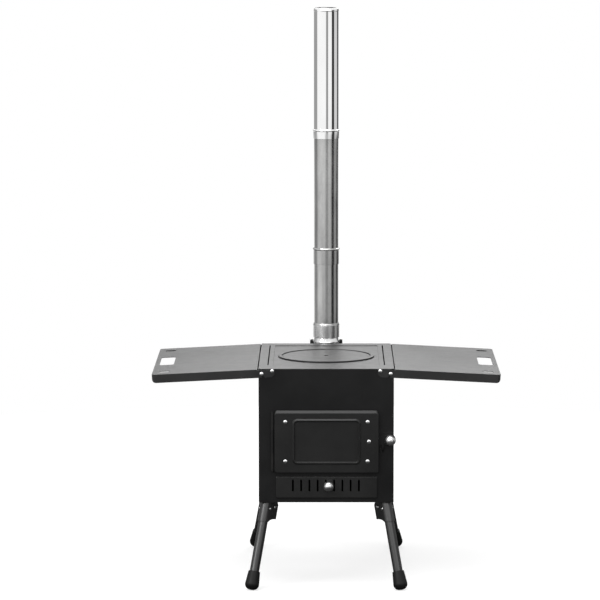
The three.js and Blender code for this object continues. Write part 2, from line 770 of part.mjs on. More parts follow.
function drawerRunner(side) {
  const guideInner = trayHalf + runnerPlay;
  const ledgeZ = trayBottomZ - seam;
  const shape = new THREE.Shape();
  shape.moveTo(guideInner, ledgeZ + runnerGuide);
  shape.lineTo(guideInner, ledgeZ);
  shape.lineTo(guideInner - runnerLedge, ledgeZ);
  shape.lineTo(guideInner - runnerLedge, ledgeZ - sheet);
  shape.lineTo(guideInner, ledgeZ - sheet);
  shape.lineTo(guideInner, floorTopZ + seam);
  shape.lineTo(guideInner + sheet, floorTopZ + seam);
  shape.lineTo(guideInner + sheet, ledgeZ + runnerGuide);
  const front = frontY + 2 * sheet + 3 * seam;
  const back = innerY - runnerEndGap;
  let solid = extrudeY(shape, front, back);
  if (side < 0) solid = solid.mirror([1, 0, 0]);
  return solid.translate([doorCentreX, 0, 0]);
}

// ---- Door ----

const doorRimY = frontY - doorStandoff;
const doorFaceY = doorRimY - doorDepth;
const hingeY = frontY - seam - hingeRadius;
const hingeX = doorCentreX - doorWidth / 2 - hingeEdgeGap - hingeRadius;
const latchZ = doorCentreZ;
const linerFrontY = doorRimY - doorSheet;

function doorBead(y) {
  const band = doorBeadBand;
  const rows = [[0, 0.6], [0, 0], [1, -doorBeadRise * 0.7], [2.3, -doorBeadRise]];
  rows.push([band - 2.3, -doorBeadRise], [band - 1, -doorBeadRise * 0.7], [band, 0], [band, 0.6]);
  const rings = rows.map(([inset, rise]) => rectRing(
    doorBeadWidth - 2 * inset, doorBeadHeight - 2 * inset, Math.max(1, doorBeadCorner - inset), y + rise, 3));
  return loft(rings, true);
}

function doorSkin() {
  const s = doorSheet;
  const lip = doorDepth - doorBevel;
  const outer = loft([
    rectRing(doorWidth, doorHeight, doorCorner, doorRimY),
    rectRing(doorWidth, doorHeight, doorCorner, doorRimY - lip),
    rectRing(doorWidth - 2 * doorBevel + 1, doorHeight - 2 * doorBevel + 1, doorCorner - 2, doorFaceY + 0.5),
    rectRing(doorWidth - 2 * doorBevel - 1, doorHeight - 2 * doorBevel - 1, doorCorner - 3, doorFaceY),
  ]);
  const inner = loft([
    rectRing(doorWidth - 2 * s, doorHeight - 2 * s, doorCorner - 1, doorRimY + 1),
    rectRing(doorWidth - 2 * s, doorHeight - 2 * s, doorCorner - 1, doorRimY - lip),
    rectRing(doorWidth - 2 * doorBevel - 2 * s + 1.6, doorHeight - 2 * doorBevel - 2 * s + 1.6, doorCorner - 3,
      doorFaceY + s),
  ]);
  let solid = outer.subtract(inner).add(doorBead(doorFaceY + 0.2));
  for (const x of [-doorRivetX, doorRivetX]) {
    for (const z of [-doorRivetZ, doorRivetZ]) {
      solid = solid.subtract(cylinderY(doorRivetShank + pinPlay, doorFaceY - 1, doorRimY, 12, x, z));
    }
  }
  solid = solid.translate([doorCentreX, 0, doorCentreZ]);
  solid = solid.subtract(cylinderY(doorRivetShank + pinPlay, doorFaceY - 1, doorRimY, 12, latchX, latchZ));
  return solid.add(doorKnuckle());
}

function doorKnuckle() {
  const half = hingeMiddle / 2;
  const z = [doorCentreZ - half, doorCentreZ + half];
  const barrel = cylinderZ(hingeRadius, z[0], z[1], 16, hingeX, hingeY);
  const bore = cylinderZ(hingeRodRadius + pinPlay, z[0] - 1, z[1] + 1, 12, hingeX, hingeY);
  const edge = doorCentreX - doorWidth / 2 + 1;
  const web = block([hingeX, edge], [doorRimY - 1.2, doorRimY], z);
  return barrel.add(web).subtract(bore);
}

function doorLiner() {
  const width = doorWidth - 2 * doorSheet - 2 * linerInset;
  const height = doorHeight - 2 * doorSheet - 2 * linerInset;
  const shape = roundedRect(width, height, 4, doorCentreX, doorCentreZ);
  for (const x of [-doorRivetX, doorRivetX]) {
    for (const z of [-doorRivetZ, doorRivetZ]) {
      shape.holes.push(circlePath(doorCentreX + x, doorCentreZ + z, doorRivetShank + pinPlay));
    }
  }
  shape.holes.push(circlePath(latchX, latchZ, doorRivetShank + pinPlay));
  return extrudeY(shape, linerFrontY, doorRimY);
}

function doorRivet() {
  const grip = doorRimY - doorFaceY + 2 * seam;
  return rivetSolid(doorRivetShank, grip, doorRivetHead, doorRivetHeadHeight, doorRivetShank + 1.6, 1.1);
}

function hingeKnuckleSolid(z) {
  const barrel = cylinderZ(hingeRadius, z[0], z[1], 16, hingeX, hingeY);
  const foot = block([hingeX - hingeRadius, hingeX + hingeRadius * 0.8], [hingeY, frontY - seam], z);
  const bore = cylinderZ(hingeRodRadius + pinPlay, z[0] - 1, z[1] + 1, 12, hingeX, hingeY);
  return barrel.add(foot).subtract(bore);
}

const hingeLow = doorCentreZ - hingeMiddle / 2 - seam - hingeKnuckle;
const hingeHigh = doorCentreZ + hingeMiddle / 2 + seam + hingeKnuckle;

function hingeRod() {
  const profile = [
    [0, hingeHigh + seam + 1.6], [hingeRodHead, hingeHigh + seam + 1.2], [hingeRodHead, hingeHigh + seam],
    [hingeRodRadius, hingeHigh + seam], [hingeRodRadius, hingeLow - seam],
    [hingeRodHead, hingeLow - seam], [hingeRodHead, hingeLow - seam - 1.2], [0, hingeLow - seam - 1.6],
  ];
  return revolve(profile, 12);
}

// ---- Latch ----

const latchBarFrontY = doorRimY + seam;
const latchBarBackY = latchBarFrontY + latchBarThickness;

// Drawn along +X from the rivet, then raised to its resting angle about the rivet.
function latchBar() {
  const r = latchBarWidth / 2;
  const shape = new THREE.Shape();
  const start = Math.acos((latchTail - r) / latchReach);
  shape.absarc(latchReach, 0, r, -start, start, false);
  shape.absarc(0, 0, latchTail, start, 2 * Math.PI - start, false);
  shape.holes.push(circlePath(0, 0, doorRivetShank + pinPlay));
  shape.holes.push(circlePath(latchReach, 0, knobStem + pinPlay));
  return extrudeY(shape, 0, latchBarThickness, 5);
}

function latchRivet() {
  const grip = latchBarBackY - doorFaceY + 2 * seam;
  return rivetSolid(doorRivetShank, grip, doorRivetHead, doorRivetHeadHeight, doorRivetShank + 1.8, 1.1);
}

function latchCatch() {
  const shape = new THREE.Shape();
  const back = frontY - seam;
  const slotBack = latchBarBackY + 0.5;
  const slotFront = latchBarFrontY - 0.8;
  const front = slotFront - 2.2;
  const seat = catchLipTopZ - catchNotch;
  shape.moveTo(back, catchBottomZ);
  shape.lineTo(back, seat);
  shape.lineTo(slotFront, seat);
  shape.lineTo(slotFront, catchLipTopZ);
  shape.lineTo(front + 0.8, catchLipTopZ);
  shape.lineTo(front, catchLipTopZ - 1);
  shape.lineTo(front, seat - 3);
  shape.lineTo(slotBack, catchBottomZ);
  const hook = extrudeX(shape, catchX - catchPlate / 2, catchX + catchPlate / 2);
  const foot = block([catchX - 8, catchX + catchPlate / 2], [back - 1.2, back], [catchBottomZ, seat - 1.5]);
  return hook.add(foot);
}

// ---- Shelves, drawn for the right side from the front pivot's axis, before they droop ----

const shelfHalfInner = bodyDepth / 2 + shelfSidePlay;
const shelfHalfOuter = shelfHalfInner + shelfSheet;

function shelfOutline(inset) {
  const shape = new THREE.Shape();
  const [outX, y, r] = [shelfReach - inset, shelfHalfOuter - inset, Math.max(1, shelfCorner - inset)];
  shape.moveTo(-60, -y);
  shape.lineTo(outX - r, -y);
  shape.absarc(outX - r, -y + r, r, -Math.PI / 2, 0);
  shape.lineTo(outX, y - r);
  shape.absarc(outX - r, y - r, r, 0, Math.PI / 2);
  shape.lineTo(-60, y);
  return shape;
}

// The side view of the turned-down edge: the ear over the body, the open notch for the stop
// stud, and the rounded outer corner.
function apronOutline() {
  const [top, bottom] = [shelfRise, shelfRise - shelfApron];
  const shape = new THREE.Shape();
  const r = shelfCorner;
  const earTop = top - earTopDrop;
  shape.moveTo(-earReach, earTop);
  shape.lineTo(-earReach, bottom + earChamfer);
  shape.lineTo(-earReach + earChamfer, bottom);
  shape.lineTo(shelfReach - r, bottom);
  shape.absarc(shelfReach - r, bottom + r, r, -Math.PI / 2, 0);
  shape.lineTo(shelfReach + 1, bottom + r);
  shape.lineTo(shelfReach + 1, top);
  shape.lineTo(shelfInner, top);
  shape.lineTo(shelfInner, earTop);
  return shape;
}

function stopNotch() {
  const droop = THREE.MathUtils.degToRad(shelfDroop);
  const radius = Math.hypot(shelfStopX, shelfStopDrop);
  const start = -Math.atan2(shelfStopDrop, shelfStopX) + droop;
  const half = shelfRivetRadius + pinPlay;
  const endAngle = start - THREE.MathUtils.degToRad(45);
  const shape = new THREE.Shape();
  shape.absarc(0, 0, radius + half, endAngle, start, false);
  shape.absarc(radius * Math.cos(start), radius * Math.sin(start), half, start, start + Math.PI, false);
  shape.absarc(0, 0, radius - half, start, endAngle, true);
  return extrudeY(shape, -shelfHalfOuter - 1, shelfHalfOuter + 1, 12);
}

function shelfSolid() {
  const [top, bottom] = [shelfRise, shelfRise - shelfApron];
  const outer = extrudeZ(shelfOutline(0), bottom - 1, top, 4);
  const inner = extrudeZ(shelfOutline(shelfSheet), bottom - 2, top - shelfSheet, 4);
  const side = extrudeY(apronOutline(), -shelfHalfOuter - 1, shelfHalfOuter + 1, 4);
  let solid = outer.subtract(inner).intersect(side);
  const overBody = block([-61, shelfInner], [-shelfHalfInner, shelfHalfInner], [bottom - 2, top + 1]);
  const fold = block([shelfInner, shelfInner + shelfSheet], [-shelfHalfInner - 0.5, shelfHalfInner + 0.5],
    [top - shelfInnerFold, top - 0.5]);
  solid = solid.subtract(overBody).add(fold).subtract(stopNotch());
  for (const y of [-shelfHalfInner, shelfHalfInner]) {
    solid = solid.subtract(cylinderY(shelfRivetRadius + pinPlay, y - 3, y + 3, 16));
  }
  const gripX = shelfReach - gripInset;
  const grip = roundedRect(gripWidth, gripLength, 8, gripX, 0);
  solid = solid.subtract(extrudeZ(grip, top - 3, top + 1, 3));
  for (const side2 of [-1, 1]) {
    const vent = roundedRect(ventLength, ventWidth, 6, gripX, side2 * ventSpread);
    solid = solid.subtract(extrudeZ(vent, top - 3, top + 1, 3));
  }
  return solid;
}

function shelfGroup(name, side, solid) {
  const mesh = piece(name, solid, blackPaint);
  mesh.rotation.y = THREE.MathUtils.degToRad(shelfDroop);
  const turn = new THREE.Group();
  turn.add(mesh);
  turn.position.set(side * shelfPivotX, 0, shelfPivotZ);
  if (side < 0) turn.rotation.z = Math.PI;
  return turn;
}

const shelfRivetGrip = shelfHalfOuter + seam - (bodyDepth / 2 - sheet) + seam;

function shelfRivetSolid() {
  return rivetSolid(shelfRivetRadius, shelfRivetGrip, shelfRivetHead, shelfRivetHeadHeight,
    shelfRivetRadius + 1.6, 1.2);
}

// ---- Legs, drawn from the pivot pin: X runs along the pin, +Y leans out, +Z is up ----

const tilt = THREE.MathUtils.degToRad(legTilt);
const cheekInner = legTubeRadius + seam;
const cheekOuter = cheekInner + bracketPlate;
const legPivotZ = underHeight - legPivotDrop;

// A point at n outward of the pivot and v down along the leg.
function legPoint(n, v) {
  const y = n * Math.cos(tilt) + v * Math.sin(tilt);
  const z = n * Math.sin(tilt) - v * Math.cos(tilt);
  return new THREE.Vector2(y, z);
}

// Leans a solid that was drawn along -Z, with +Y outward, to the leg's resting angle.
function lean(solid) {
  return solid.rotate([legTilt, 0, 0]);
}

function stadiumPrism(radius, depth, low, high) {
  const shape = new THREE.Shape();
  shape.moveTo(radius, -depth);
  shape.lineTo(radius, legTubeOffset);
  shape.absarc(0, legTubeOffset, radius, 0, Math.PI, false);
  shape.lineTo(-radius, -depth);
  return extrudeZ(shape, low, high, 4);
}

function legBracket() {
  const topZ = legPivotDrop - seam;
  const swing = topZ - 0.5;
  const closedN = legTubeOffset + cheekOuter + 1;
  const sideShape = new THREE.Shape();
  sideShape.moveTo(0, topZ);
  const arcEnd = Math.PI - Math.acos(bracketEdge / swing) + tilt;
  sideShape.absarc(0, 0, swing, Math.PI / 2, arcEnd, false);
  const low = legPoint(-bracketEdge, bracketInnerLength);
  const mid = legPoint(legTubeOffset, bracketLength - 0.6);
  const bend = legPoint(legTubeOffset - cheekInner, bracketInnerLength + 3);
  const end = legPoint(closedN, bracketLength);
  const v = (closedN * Math.sin(tilt) - topZ) / Math.cos(tilt);
  const corner = legPoint(closedN, v);
  sideShape.lineTo(low.x, low.y);
  sideShape.quadraticCurveTo(bend.x, bend.y, mid.x, mid.y);
  sideShape.lineTo(end.x, end.y);
  sideShape.lineTo(corner.x, corner.y);
  const profile = extrudeX(sideShape, -cheekOuter - 1, cheekOuter + 1, 3);
  const channel = stadiumPrism(cheekOuter, 60, -80, 40).subtract(stadiumPrism(cheekInner, 61, -81, 41));
  let solid = lean(channel).intersect(profile);
  const rivet = legPoint(legTubeOffset, legTubeOffset * Math.tan(tilt));
  for (const [y, z] of [[0, 0], [rivet.x, rivet.y]]) {
    solid = solid.subtract(cylinderX(legPinRadius + pinPlay, -cheekOuter - 1, cheekOuter + 1, 8, y, z));
  }
  return solid;
}

// A pin across the cheeks with a flat domed head at each end.
function crossPin(y, z) {
  const end = cheekOuter + seam;
  const profile = [
    [0, end + legPinHeadHeight], [legPinHead, end + legPinHeadHeight * 0.3], [legPinHead, end],
    [legPinRadius, end], [legPinRadius, -end],
    [legPinHead, -end], [legPinHead, -end - legPinHeadHeight * 0.3], [0, -end - legPinHeadHeight],
  ];
  return revolve(profile, 8).rotate([0, 90, 0]).translate([0, y, z]);
}

function legLug() {
  const top = legPivotDrop - seam;
  const shape = new THREE.Shape();
  shape.moveTo(lugRadius, top);
  shape.lineTo(-lugRadius, top);
  shape.lineTo(-lugRadius, 0);
  shape.absarc(0, 0, lugRadius, Math.PI, Math.PI * 2, false);
  const half = cheekInner - seam - 1.2;
  const body = extrudeX(shape, -half, half, 3);
  const gap = block([-half + lugEar, half - lugEar], [-lugRadius - 1, lugRadius + 1], [-lugRadius - 1, top - lugEar]);
  return body.subtract(gap).add(crossPin(0, 0));
}

const footAxisV = (legTubeOffset * Math.sin(tilt) + legPivotZ) / Math.cos(tilt);
const capEndV = footAxisV - (capBottomRadius - 4) * Math.tan(tilt) + soleDip;
const tubeEndV = capEndV - (capLength - capBore);

function legTube() {
  const start = -2.5;
  const ring = revolveRing([
    [legTubeRadius - legTubeWall, -tubeEndV], [legTubeRadius, -tubeEndV],
    [legTubeRadius, -start], [legTubeRadius - legTubeWall, -start],
  ], 14).translate([0, legTubeOffset, 0]);
  const rivet = legPoint(legTubeOffset, legTubeOffset * Math.tan(tilt));
  return lean(ring).add(crossPin(rivet.x, rivet.y));
}

function footCap() {
  const bore = legTubeRadius + seam;
  const floor = tubeEndV + seam;
  const profile = [
    [bore, -(capEndV - capLength)], [capTopRadius - 0.8, -(capEndV - capLength)],
    [capTopRadius, -(capEndV - capLength) - 1], [capBottomRadius, -(capEndV - capRound)],
  ];
  for (let i = 1; i <= 3; i += 1) {
    const angle = (Math.PI / 2) * (i / 3);
    const radius = capBottomRadius - capRound * (1 - Math.cos(angle));
    profile.push([radius, -(capEndV - capRound * (1 - Math.sin(angle)))]);
  }
  profile.push([0, -capEndV], [0, -floor], [bore, -floor]);
  const cap = revolve([...profile, profile[0]], 14).translate([0, legTubeOffset, 0]);
  const above = block([-100, 100], [-100, 400], [-legPivotZ, 100]);
  return lean(cap).intersect(above);
}

const footReach = legPoint(legTubeOffset, footAxisV).x;
const turn = THREE.MathUtils.degToRad(legTurn);
const legPivotX = footX - footReach * Math.sin(turn);
const legPivotY = footY - footReach * Math.cos(turn);

function legGroup(prefix, sideX, sideY, solids) {
  const group = new THREE.Group();
  group.add(piece(prefix + '_lug', solids.lug, darkPaint));
  group.add(piece(prefix + '_bracket', solids.bracket, blackPaint));
  group.add(piece(prefix + '_tube', solids.tube, blackPaint));
  group.add(piece(prefix + '_foot_cap', solids.cap, blackRubber));
  group.position.set(sideX * legPivotX, sideY * legPivotY, legPivotZ);
  group.rotation.z = Math.atan2(-sideX * Math.sin(turn), sideY * Math.cos(turn));
  return group;
}

// ---- Assembly ----

const stove = new THREE.Group();

const sideRight = sidePanel();
stove.add(piece('side_panel_right', sideRight, blackPaint));
stove.add(piece('side_panel_left', sideRight.mirror([1, 0, 0]), blackPaint));
stove.add(piece('front_panel', frontPanel(), blackPaint));
stove.add(piece('rear_panel', rearPanel(), blackPaint));
stove.add(piece('floor_panel', floorPanel(), blackPaint));
stove.add(piece('top_plate', topPlate(), blackPaint));
stove.add(piece('lid', lidSolid(), blackPaint));

stove.add(piece('flue_box', flueBox(), blackPaint));
const outlet = new THREE.Group();
outlet.position.set(0, flueY, 0);
outlet.add(piece('flue_flange', flueFlange(), brightSteel));
outlet.add(piece('flue_collar', flueCollar(), satinSteel));
for (const [name, side] of [['flange_screw_left', -1], ['flange_screw_right', 1]]) {
  const screw = piece(name, flangeScrew(), brightSteel);
  screw.position.set(side * flangeScrewX, 0, flangeBottomZ + flangeEarHeight + seam);
  outlet.add(screw);
}
const lower = piece('lower_pipe', lowerPipe(), satinSteel);
lower.position.z = lowerPipeZ;
const middle = piece('middle_pipe', upperPipe(middlePipeLength, middleSkirt, false), satinSteel);
middle.position.z = middlePipeZ;
const top = piece('top_pipe', upperPipe(topPipeLength, topSkirt, true), brightSteel);
top.position.z = topPipeZ;
outlet.add(lower, middle, top);
stove.add(outlet);

stove.add(piece('grate', grateSolid(), darkPaint));
stove.add(piece('drawer_front', drawerFront(), blackPaint));
stove.add(piece('ash_tray', ashTray(), darkPaint));
stove.add(piece('drawer_runner_left', drawerRunner(-1), darkPaint));
stove.add(piece('drawer_runner_right', drawerRunner(1), darkPaint));
const drawerStud = drawerSheet + 2 * seam;
const drawerKnob = piece('drawer_knob', knobSolid(drawerStud, knobNeck, 2.2), brightSteel);
faceFront(drawerKnob, doorCentreX + drawerKnobShift, drawerFaceY - seam, drawerCentreZ + airSlotRise);
stove.add(drawerKnob);

stove.add(piece('door_skin', doorSkin(), blackPaint));
stove.add(piece('door_liner', doorLiner(), darkPaint));
const doorRivets = [
  ['door_rivet_top_left', -1, 1], ['door_rivet_top_right', 1, 1],
  ['door_rivet_bottom_left', -1, -1], ['door_rivet_bottom_right', 1, -1],
];
for (const [name, sideX, sideZ] of doorRivets) {
  const rivet = piece(name, doorRivet(), brightSteel);
  faceFront(rivet, doorCentreX + sideX * doorRivetX, doorFaceY - seam, doorCentreZ + sideZ * doorRivetZ);
  stove.add(rivet);
}
const knuckleLow = [hingeLow, hingeLow + hingeKnuckle];
const knuckleHigh = [hingeHigh - hingeKnuckle, hingeHigh];
stove.add(piece('hinge_knuckle_lower', hingeKnuckleSolid(knuckleLow), blackPaint));
stove.add(piece('hinge_knuckle_upper', hingeKnuckleSolid(knuckleHigh), blackPaint));
const rod = piece('hinge_rod', hingeRod(), brightSteel);
rod.position.set(hingeX, hingeY, 0);
stove.add(rod);

const latch = new THREE.Group();
latch.position.set(latchX, 0, latchZ);
latch.rotation.y = -THREE.MathUtils.degToRad(latchLift);
const bar = piece('latch_bar', latchBar(), darkPaint);
bar.position.y = latchBarFrontY;
const latchKnob = piece('latch_knob', knobSolid(latchBarThickness + seam, 0, 0), brightSteel);
faceFront(latchKnob, latchReach, latchBarFrontY - seam, 0);
latch.add(bar, latchKnob);
stove.add(latch);
const latchPin = piece('latch_rivet', latchRivet(), brightSteel);
stove.add(faceFront(latchPin, latchX, doorFaceY - seam, latchZ));
stove.add(piece('latch_catch', latchCatch(), blackPaint));

const shelf = shelfSolid();
stove.add(shelfGroup('shelf_right', 1, shelf));
stove.add(shelfGroup('shelf_left', -1, shelf));
const shelfRivet = shelfRivetSolid();
const rivetFace = shelfHalfOuter + seam;
for (const [sideName, side] of [['left', -1], ['right', 1]]) {
  const pivotX = side * shelfPivotX;
  const stopX = side * (shelfPivotX + shelfStopX);
  const bright = brightSteel;
  stove.add(faceFront(piece('shelf_pivot_front_' + sideName, shelfRivet, bright), pivotX, -rivetFace, shelfPivotZ));
  stove.add(faceRear(piece('shelf_pivot_rear_' + sideName, shelfRivet, bright), pivotX, rivetFace, shelfPivotZ));
  stove.add(faceFront(piece('shelf_stop_front_' + sideName, shelfRivet, bright), stopX, -rivetFace, shelfStopZ));
  stove.add(faceRear(piece('shelf_stop_rear_' + sideName, shelfRivet, bright), stopX, rivetFace, shelfStopZ));
}

const legSolids = { lug: legLug(), bracket: legBracket(), tube: legTube(), cap: footCap() };
stove.add(legGroup('leg_front_left', -1, -1, legSolids));
stove.add(legGroup('leg_front_right', 1, -1, legSolids));
stove.add(legGroup('leg_rear_left', -1, 1, legSolids));
stove.add(legGroup('leg_rear_right', 1, 1, legSolids));

// The origin goes under the middle of the stove's outline, at ground level.
stove.updateMatrixWorld(true);
const outline = new THREE.Box3().setFromObject(stove, true);
stove.position.y = -(outline.min.y + outline.max.y) / 2;
stove.updateMatrixWorld(true);

export default stove;
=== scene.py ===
import json
import math

import bmesh
import bpy
from mathutils import Matrix, Vector


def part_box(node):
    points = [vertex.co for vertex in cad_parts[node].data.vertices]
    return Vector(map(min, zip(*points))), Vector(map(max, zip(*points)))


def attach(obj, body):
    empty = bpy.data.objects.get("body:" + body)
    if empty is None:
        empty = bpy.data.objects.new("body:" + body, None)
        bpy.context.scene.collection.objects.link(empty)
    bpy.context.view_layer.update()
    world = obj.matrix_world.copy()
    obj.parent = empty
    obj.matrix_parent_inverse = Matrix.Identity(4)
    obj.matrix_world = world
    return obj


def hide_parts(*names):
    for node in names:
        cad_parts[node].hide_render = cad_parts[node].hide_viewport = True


# Tent wood stove: black painted sheet steel, bright knobs and rivets, and a steel chimney in three sections.
# Lengths in the dictionaries are millimetres and angles are degrees; only the lamps are given in metres.

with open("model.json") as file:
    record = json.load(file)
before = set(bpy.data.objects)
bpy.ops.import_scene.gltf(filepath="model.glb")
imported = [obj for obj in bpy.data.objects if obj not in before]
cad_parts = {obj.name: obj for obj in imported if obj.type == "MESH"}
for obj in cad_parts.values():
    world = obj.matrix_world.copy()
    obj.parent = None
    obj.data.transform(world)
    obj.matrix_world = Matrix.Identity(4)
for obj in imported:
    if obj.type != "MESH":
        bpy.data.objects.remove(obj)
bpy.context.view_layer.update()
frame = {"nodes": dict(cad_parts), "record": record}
nodes = frame["nodes"]
mm = 0.001
print("stage: frame loaded,", len(nodes), "nodes")


# Camera, floor and light

view = {
    "distance": 8500,      # in front of the body's centre
    "height": 1679,
    "pitch": 6.9,
    "lens": 214.9,
    "sensor": 36,
    "aimShift": -0.0437,   # the stove stands a little right of the middle
}
bodyLow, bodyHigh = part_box("front_panel")[0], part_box("rear_panel")[1]
bodyMiddleY = (bodyLow.y + bodyHigh.y) / 2


def addCamera():
    data = bpy.data.cameras.new("camera")
    data.sensor_width = view["sensor"]
    data.lens = view["lens"]
    data.shift_x = view["aimShift"]
    data.clip_end = 100
    camera = bpy.data.objects.new("camera", data)
    camera.location = (0, bodyMiddleY - view["distance"] * mm, view["height"] * mm)
    camera.rotation_euler = (math.radians(90 - view["pitch"]), 0, 0)
    bpy.context.scene.collection.objects.link(camera)
    bpy.context.scene.camera = camera


def link(tree, start, end):
    tree.links.new(start, end)


def addNode(tree, kind, at, **settings):
    node = tree.nodes.new(kind)
    node.location = at
    for key, value in settings.items():
        setattr(node, key, value)
    return node


studio = {
    "ambient": 0.62,       # soft light from all round
    "floorRadius": 2600,
    "floorColour": (0.48, 0.48, 0.48, 1),
    "floorLift": 0.62,
    "wallRadius": 5200,
    "wallFoot": -1600,
    "wallFade": (1500, 3300),
    "wallTop": 3400,
    "paleTop": (0.95, 0.95, 0.95, 1),
    # Greys round the stove that bare steel mirrors, by turns from its left side: these for its lower part,
    # and the upper ones for the polished section.
    "walls": [(0.0, 0.70), (0.02, 0.95), (0.06, 1.0), (0.20, 1.0), (0.225, 0.75), (0.245, 0.5),
              (0.29, 0.5), (0.315, 0.8), (0.375, 0.7), (0.395, 0.3), (0.405, 0.03), (0.455, 0.03),
              (0.475, 0.3), (0.50, 0.5), (0.54, 0.42), (0.56, 0.10), (0.62, 0.08), (0.66, 0.40),
              (0.70, 1.0), (0.82, 1.0), (0.90, 0.40), (0.96, 0.40), (1.0, 0.70)],
    "upperWalls": [(0.0, 1.0), (0.235, 1.0), (0.258, 0.3), (0.294, 0.3), (0.31, 1.0), (0.395, 0.95),
                   (0.418, 0.03), (0.47, 0.03), (0.488, 0.65), (0.575, 0.7), (0.61, 0.1), (0.69, 0.1),
                   (0.75, 0.35), (0.975, 0.35), (0.99, 1.0)],
    "upperFrom": (520, 700),
    "card": {"x": (-2400, 2400), "y": (-3600, 1500), "z": 3, "colour": (0.05, 0.05, 0.05, 1)},
}


def whiteRays(tree):
    path = addNode(tree, "ShaderNodeLightPath", (-700, 400))
    total = path.outputs["Is Camera Ray"]
    for ray in ("Is Glossy Ray", "Is Transmission Ray"):
        higher = addNode(tree, "ShaderNodeMath", (-400, 400), operation="MAXIMUM")
        link(tree, total, higher.inputs[0])
        link(tree, path.outputs[ray], higher.inputs[1])
        total = higher.outputs[0]
    return total


def addWorld():
    world = bpy.data.worlds.new("studio")
    world.use_nodes = True
    tree = world.node_tree
    tree.nodes.clear()
    out = addNode(tree, "ShaderNodeOutputWorld", (500, 0))
    ambient = addNode(tree, "ShaderNodeBackground", (0, 100))
    ambient.inputs["Color"].default_value = (1, 1, 1, 1)
    ambient.inputs["Strength"].default_value = studio["ambient"]
    white = addNode(tree, "ShaderNodeBackground", (0, -100))
    white.inputs["Color"].default_value = (1, 1, 1, 1)
    white.inputs["Strength"].default_value = 1
    final = addNode(tree, "ShaderNodeMixShader", (300, 0))
    link(tree, whiteRays(tree), final.inputs[0])
    link(tree, ambient.outputs[0], final.inputs[1])
    link(tree, white.outputs[0], final.inputs[2])
    link(tree, final.outputs[0], out.inputs["Surface"])
    bpy.context.scene.world = world


def stageObject(name, bm, material):
    mesh = bpy.data.meshes.new(name)
    bm.to_mesh(mesh)
    bm.free()
    mesh.materials.append(material)
    thing = bpy.data.objects.new(name, mesh)
    bpy.context.scene.collection.objects.link(thing)
    return thing


def addFloor():
    material = bpy.data.materials.new("paleFloor")
    material.use_nodes = True
    tree = material.node_tree
    tree.nodes.clear()
    out = addNode(tree, "ShaderNodeOutputMaterial", (600, 0))
    body = addNode(tree, "ShaderNodeBsdfDiffuse", (0, 0))
    body.inputs["Color"].default_value = studio["floorColour"]
    lift = addNode(tree, "ShaderNodeEmission", (0, -200))
    strength = addNode(tree, "ShaderNodeMath", (-150, -200), operation="MULTIPLY")
    strength.inputs[1].default_value = studio["floorLift"]
    link(tree, whiteRays(tree), strength.inputs[0])
    link(tree, strength.outputs[0], lift.inputs["Strength"])
    total = addNode(tree, "ShaderNodeAddShader", (300, 0))
    link(tree, body.outputs[0], total.inputs[0])
    link(tree, lift.outputs[0], total.inputs[1])
    link(tree, total.outputs[0], out.inputs["Surface"])
    bm = bmesh.new()
    bmesh.ops.create_circle(bm, cap_ends=True, segments=96, radius=studio["floorRadius"] * mm)
    stageObject("floor", bm, material)


def greyRamp(tree, turn, greys):
    ramp = addNode(tree, "ShaderNodeValToRGB", (-350, 0))
    ramp.color_ramp.interpolation = "EASE"
    stops = ramp.color_ramp.elements
    stops.remove(stops[0])
    stops[0].position = greys[0][0]
    stops[0].color = [greys[0][1]] * 3 + [1]
    for position, grey in greys[1:]:
        stops.new(position).color = [grey] * 3 + [1]
    link(tree, turn, ramp.inputs["Fac"])
    return ramp.outputs["Color"]


mixSockets = {"low": 6, "high": 7, "result": 2}  # of a Mix node for colours


# One colour below a height and another above it, which is the pale top of the walls if none is given.
def blendedBy(tree, height, span, below, above=None):
    fade = addNode(tree, "ShaderNodeMapRange", (-350, -300), interpolation_type="SMOOTHSTEP")
    fade.inputs["From Min"].default_value = span[0] * mm
    fade.inputs["From Max"].default_value = span[1] * mm
    link(tree, height, fade.inputs["Value"])
    tone = addNode(tree, "ShaderNodeMix", (0, -100), data_type="RGBA")
    tone.inputs[mixSockets["high"]].default_value = studio["paleTop"]
    link(tree, fade.outputs["Result"], tone.inputs[0])
    link(tree, below, tone.inputs[mixSockets["low"]])
    if above:
        link(tree, above, tone.inputs[mixSockets["high"]])
    return tone.outputs[mixSockets["result"]]


def wallMaterial():
    material = bpy.data.materials.new("greyWalls")
    material.use_nodes = True
    tree = material.node_tree
    tree.nodes.clear()
    out = addNode(tree, "ShaderNodeOutputMaterial", (600, 0))
    coords = addNode(tree, "ShaderNodeTexCoord", (-900, 0))
    gradient = addNode(tree, "ShaderNodeTexGradient", (-600, 0), gradient_type="RADIAL")
    link(tree, coords.outputs["Object"], gradient.inputs["Vector"])
    split = addNode(tree, "ShaderNodeSeparateXYZ", (-600, -300))
    link(tree, coords.outputs["Object"], split.inputs[0])
    tone = greyRamp(tree, gradient.outputs["Fac"], studio["walls"])
    upper = greyRamp(tree, gradient.outputs["Fac"], studio["upperWalls"])
    tone = blendedBy(tree, split.outputs["Z"], studio["upperFrom"], tone, upper)
    tone = blendedBy(tree, split.outputs["Z"], studio["wallFade"], tone)
    glow = addNode(tree, "ShaderNodeEmission", (300, 0))
    link(tree, tone, glow.inputs["Color"])
    link(tree, glow.outputs[0], out.inputs["Surface"])
    return material


# Only reflections show the walls and the dark card: they neither light the stove nor stand in the picture.
def onlyMirrored(thing):
    thing.visible_camera = False
    thing.visible_diffuse = False
    thing.visible_transmission = False
    thing.visible_shadow = False


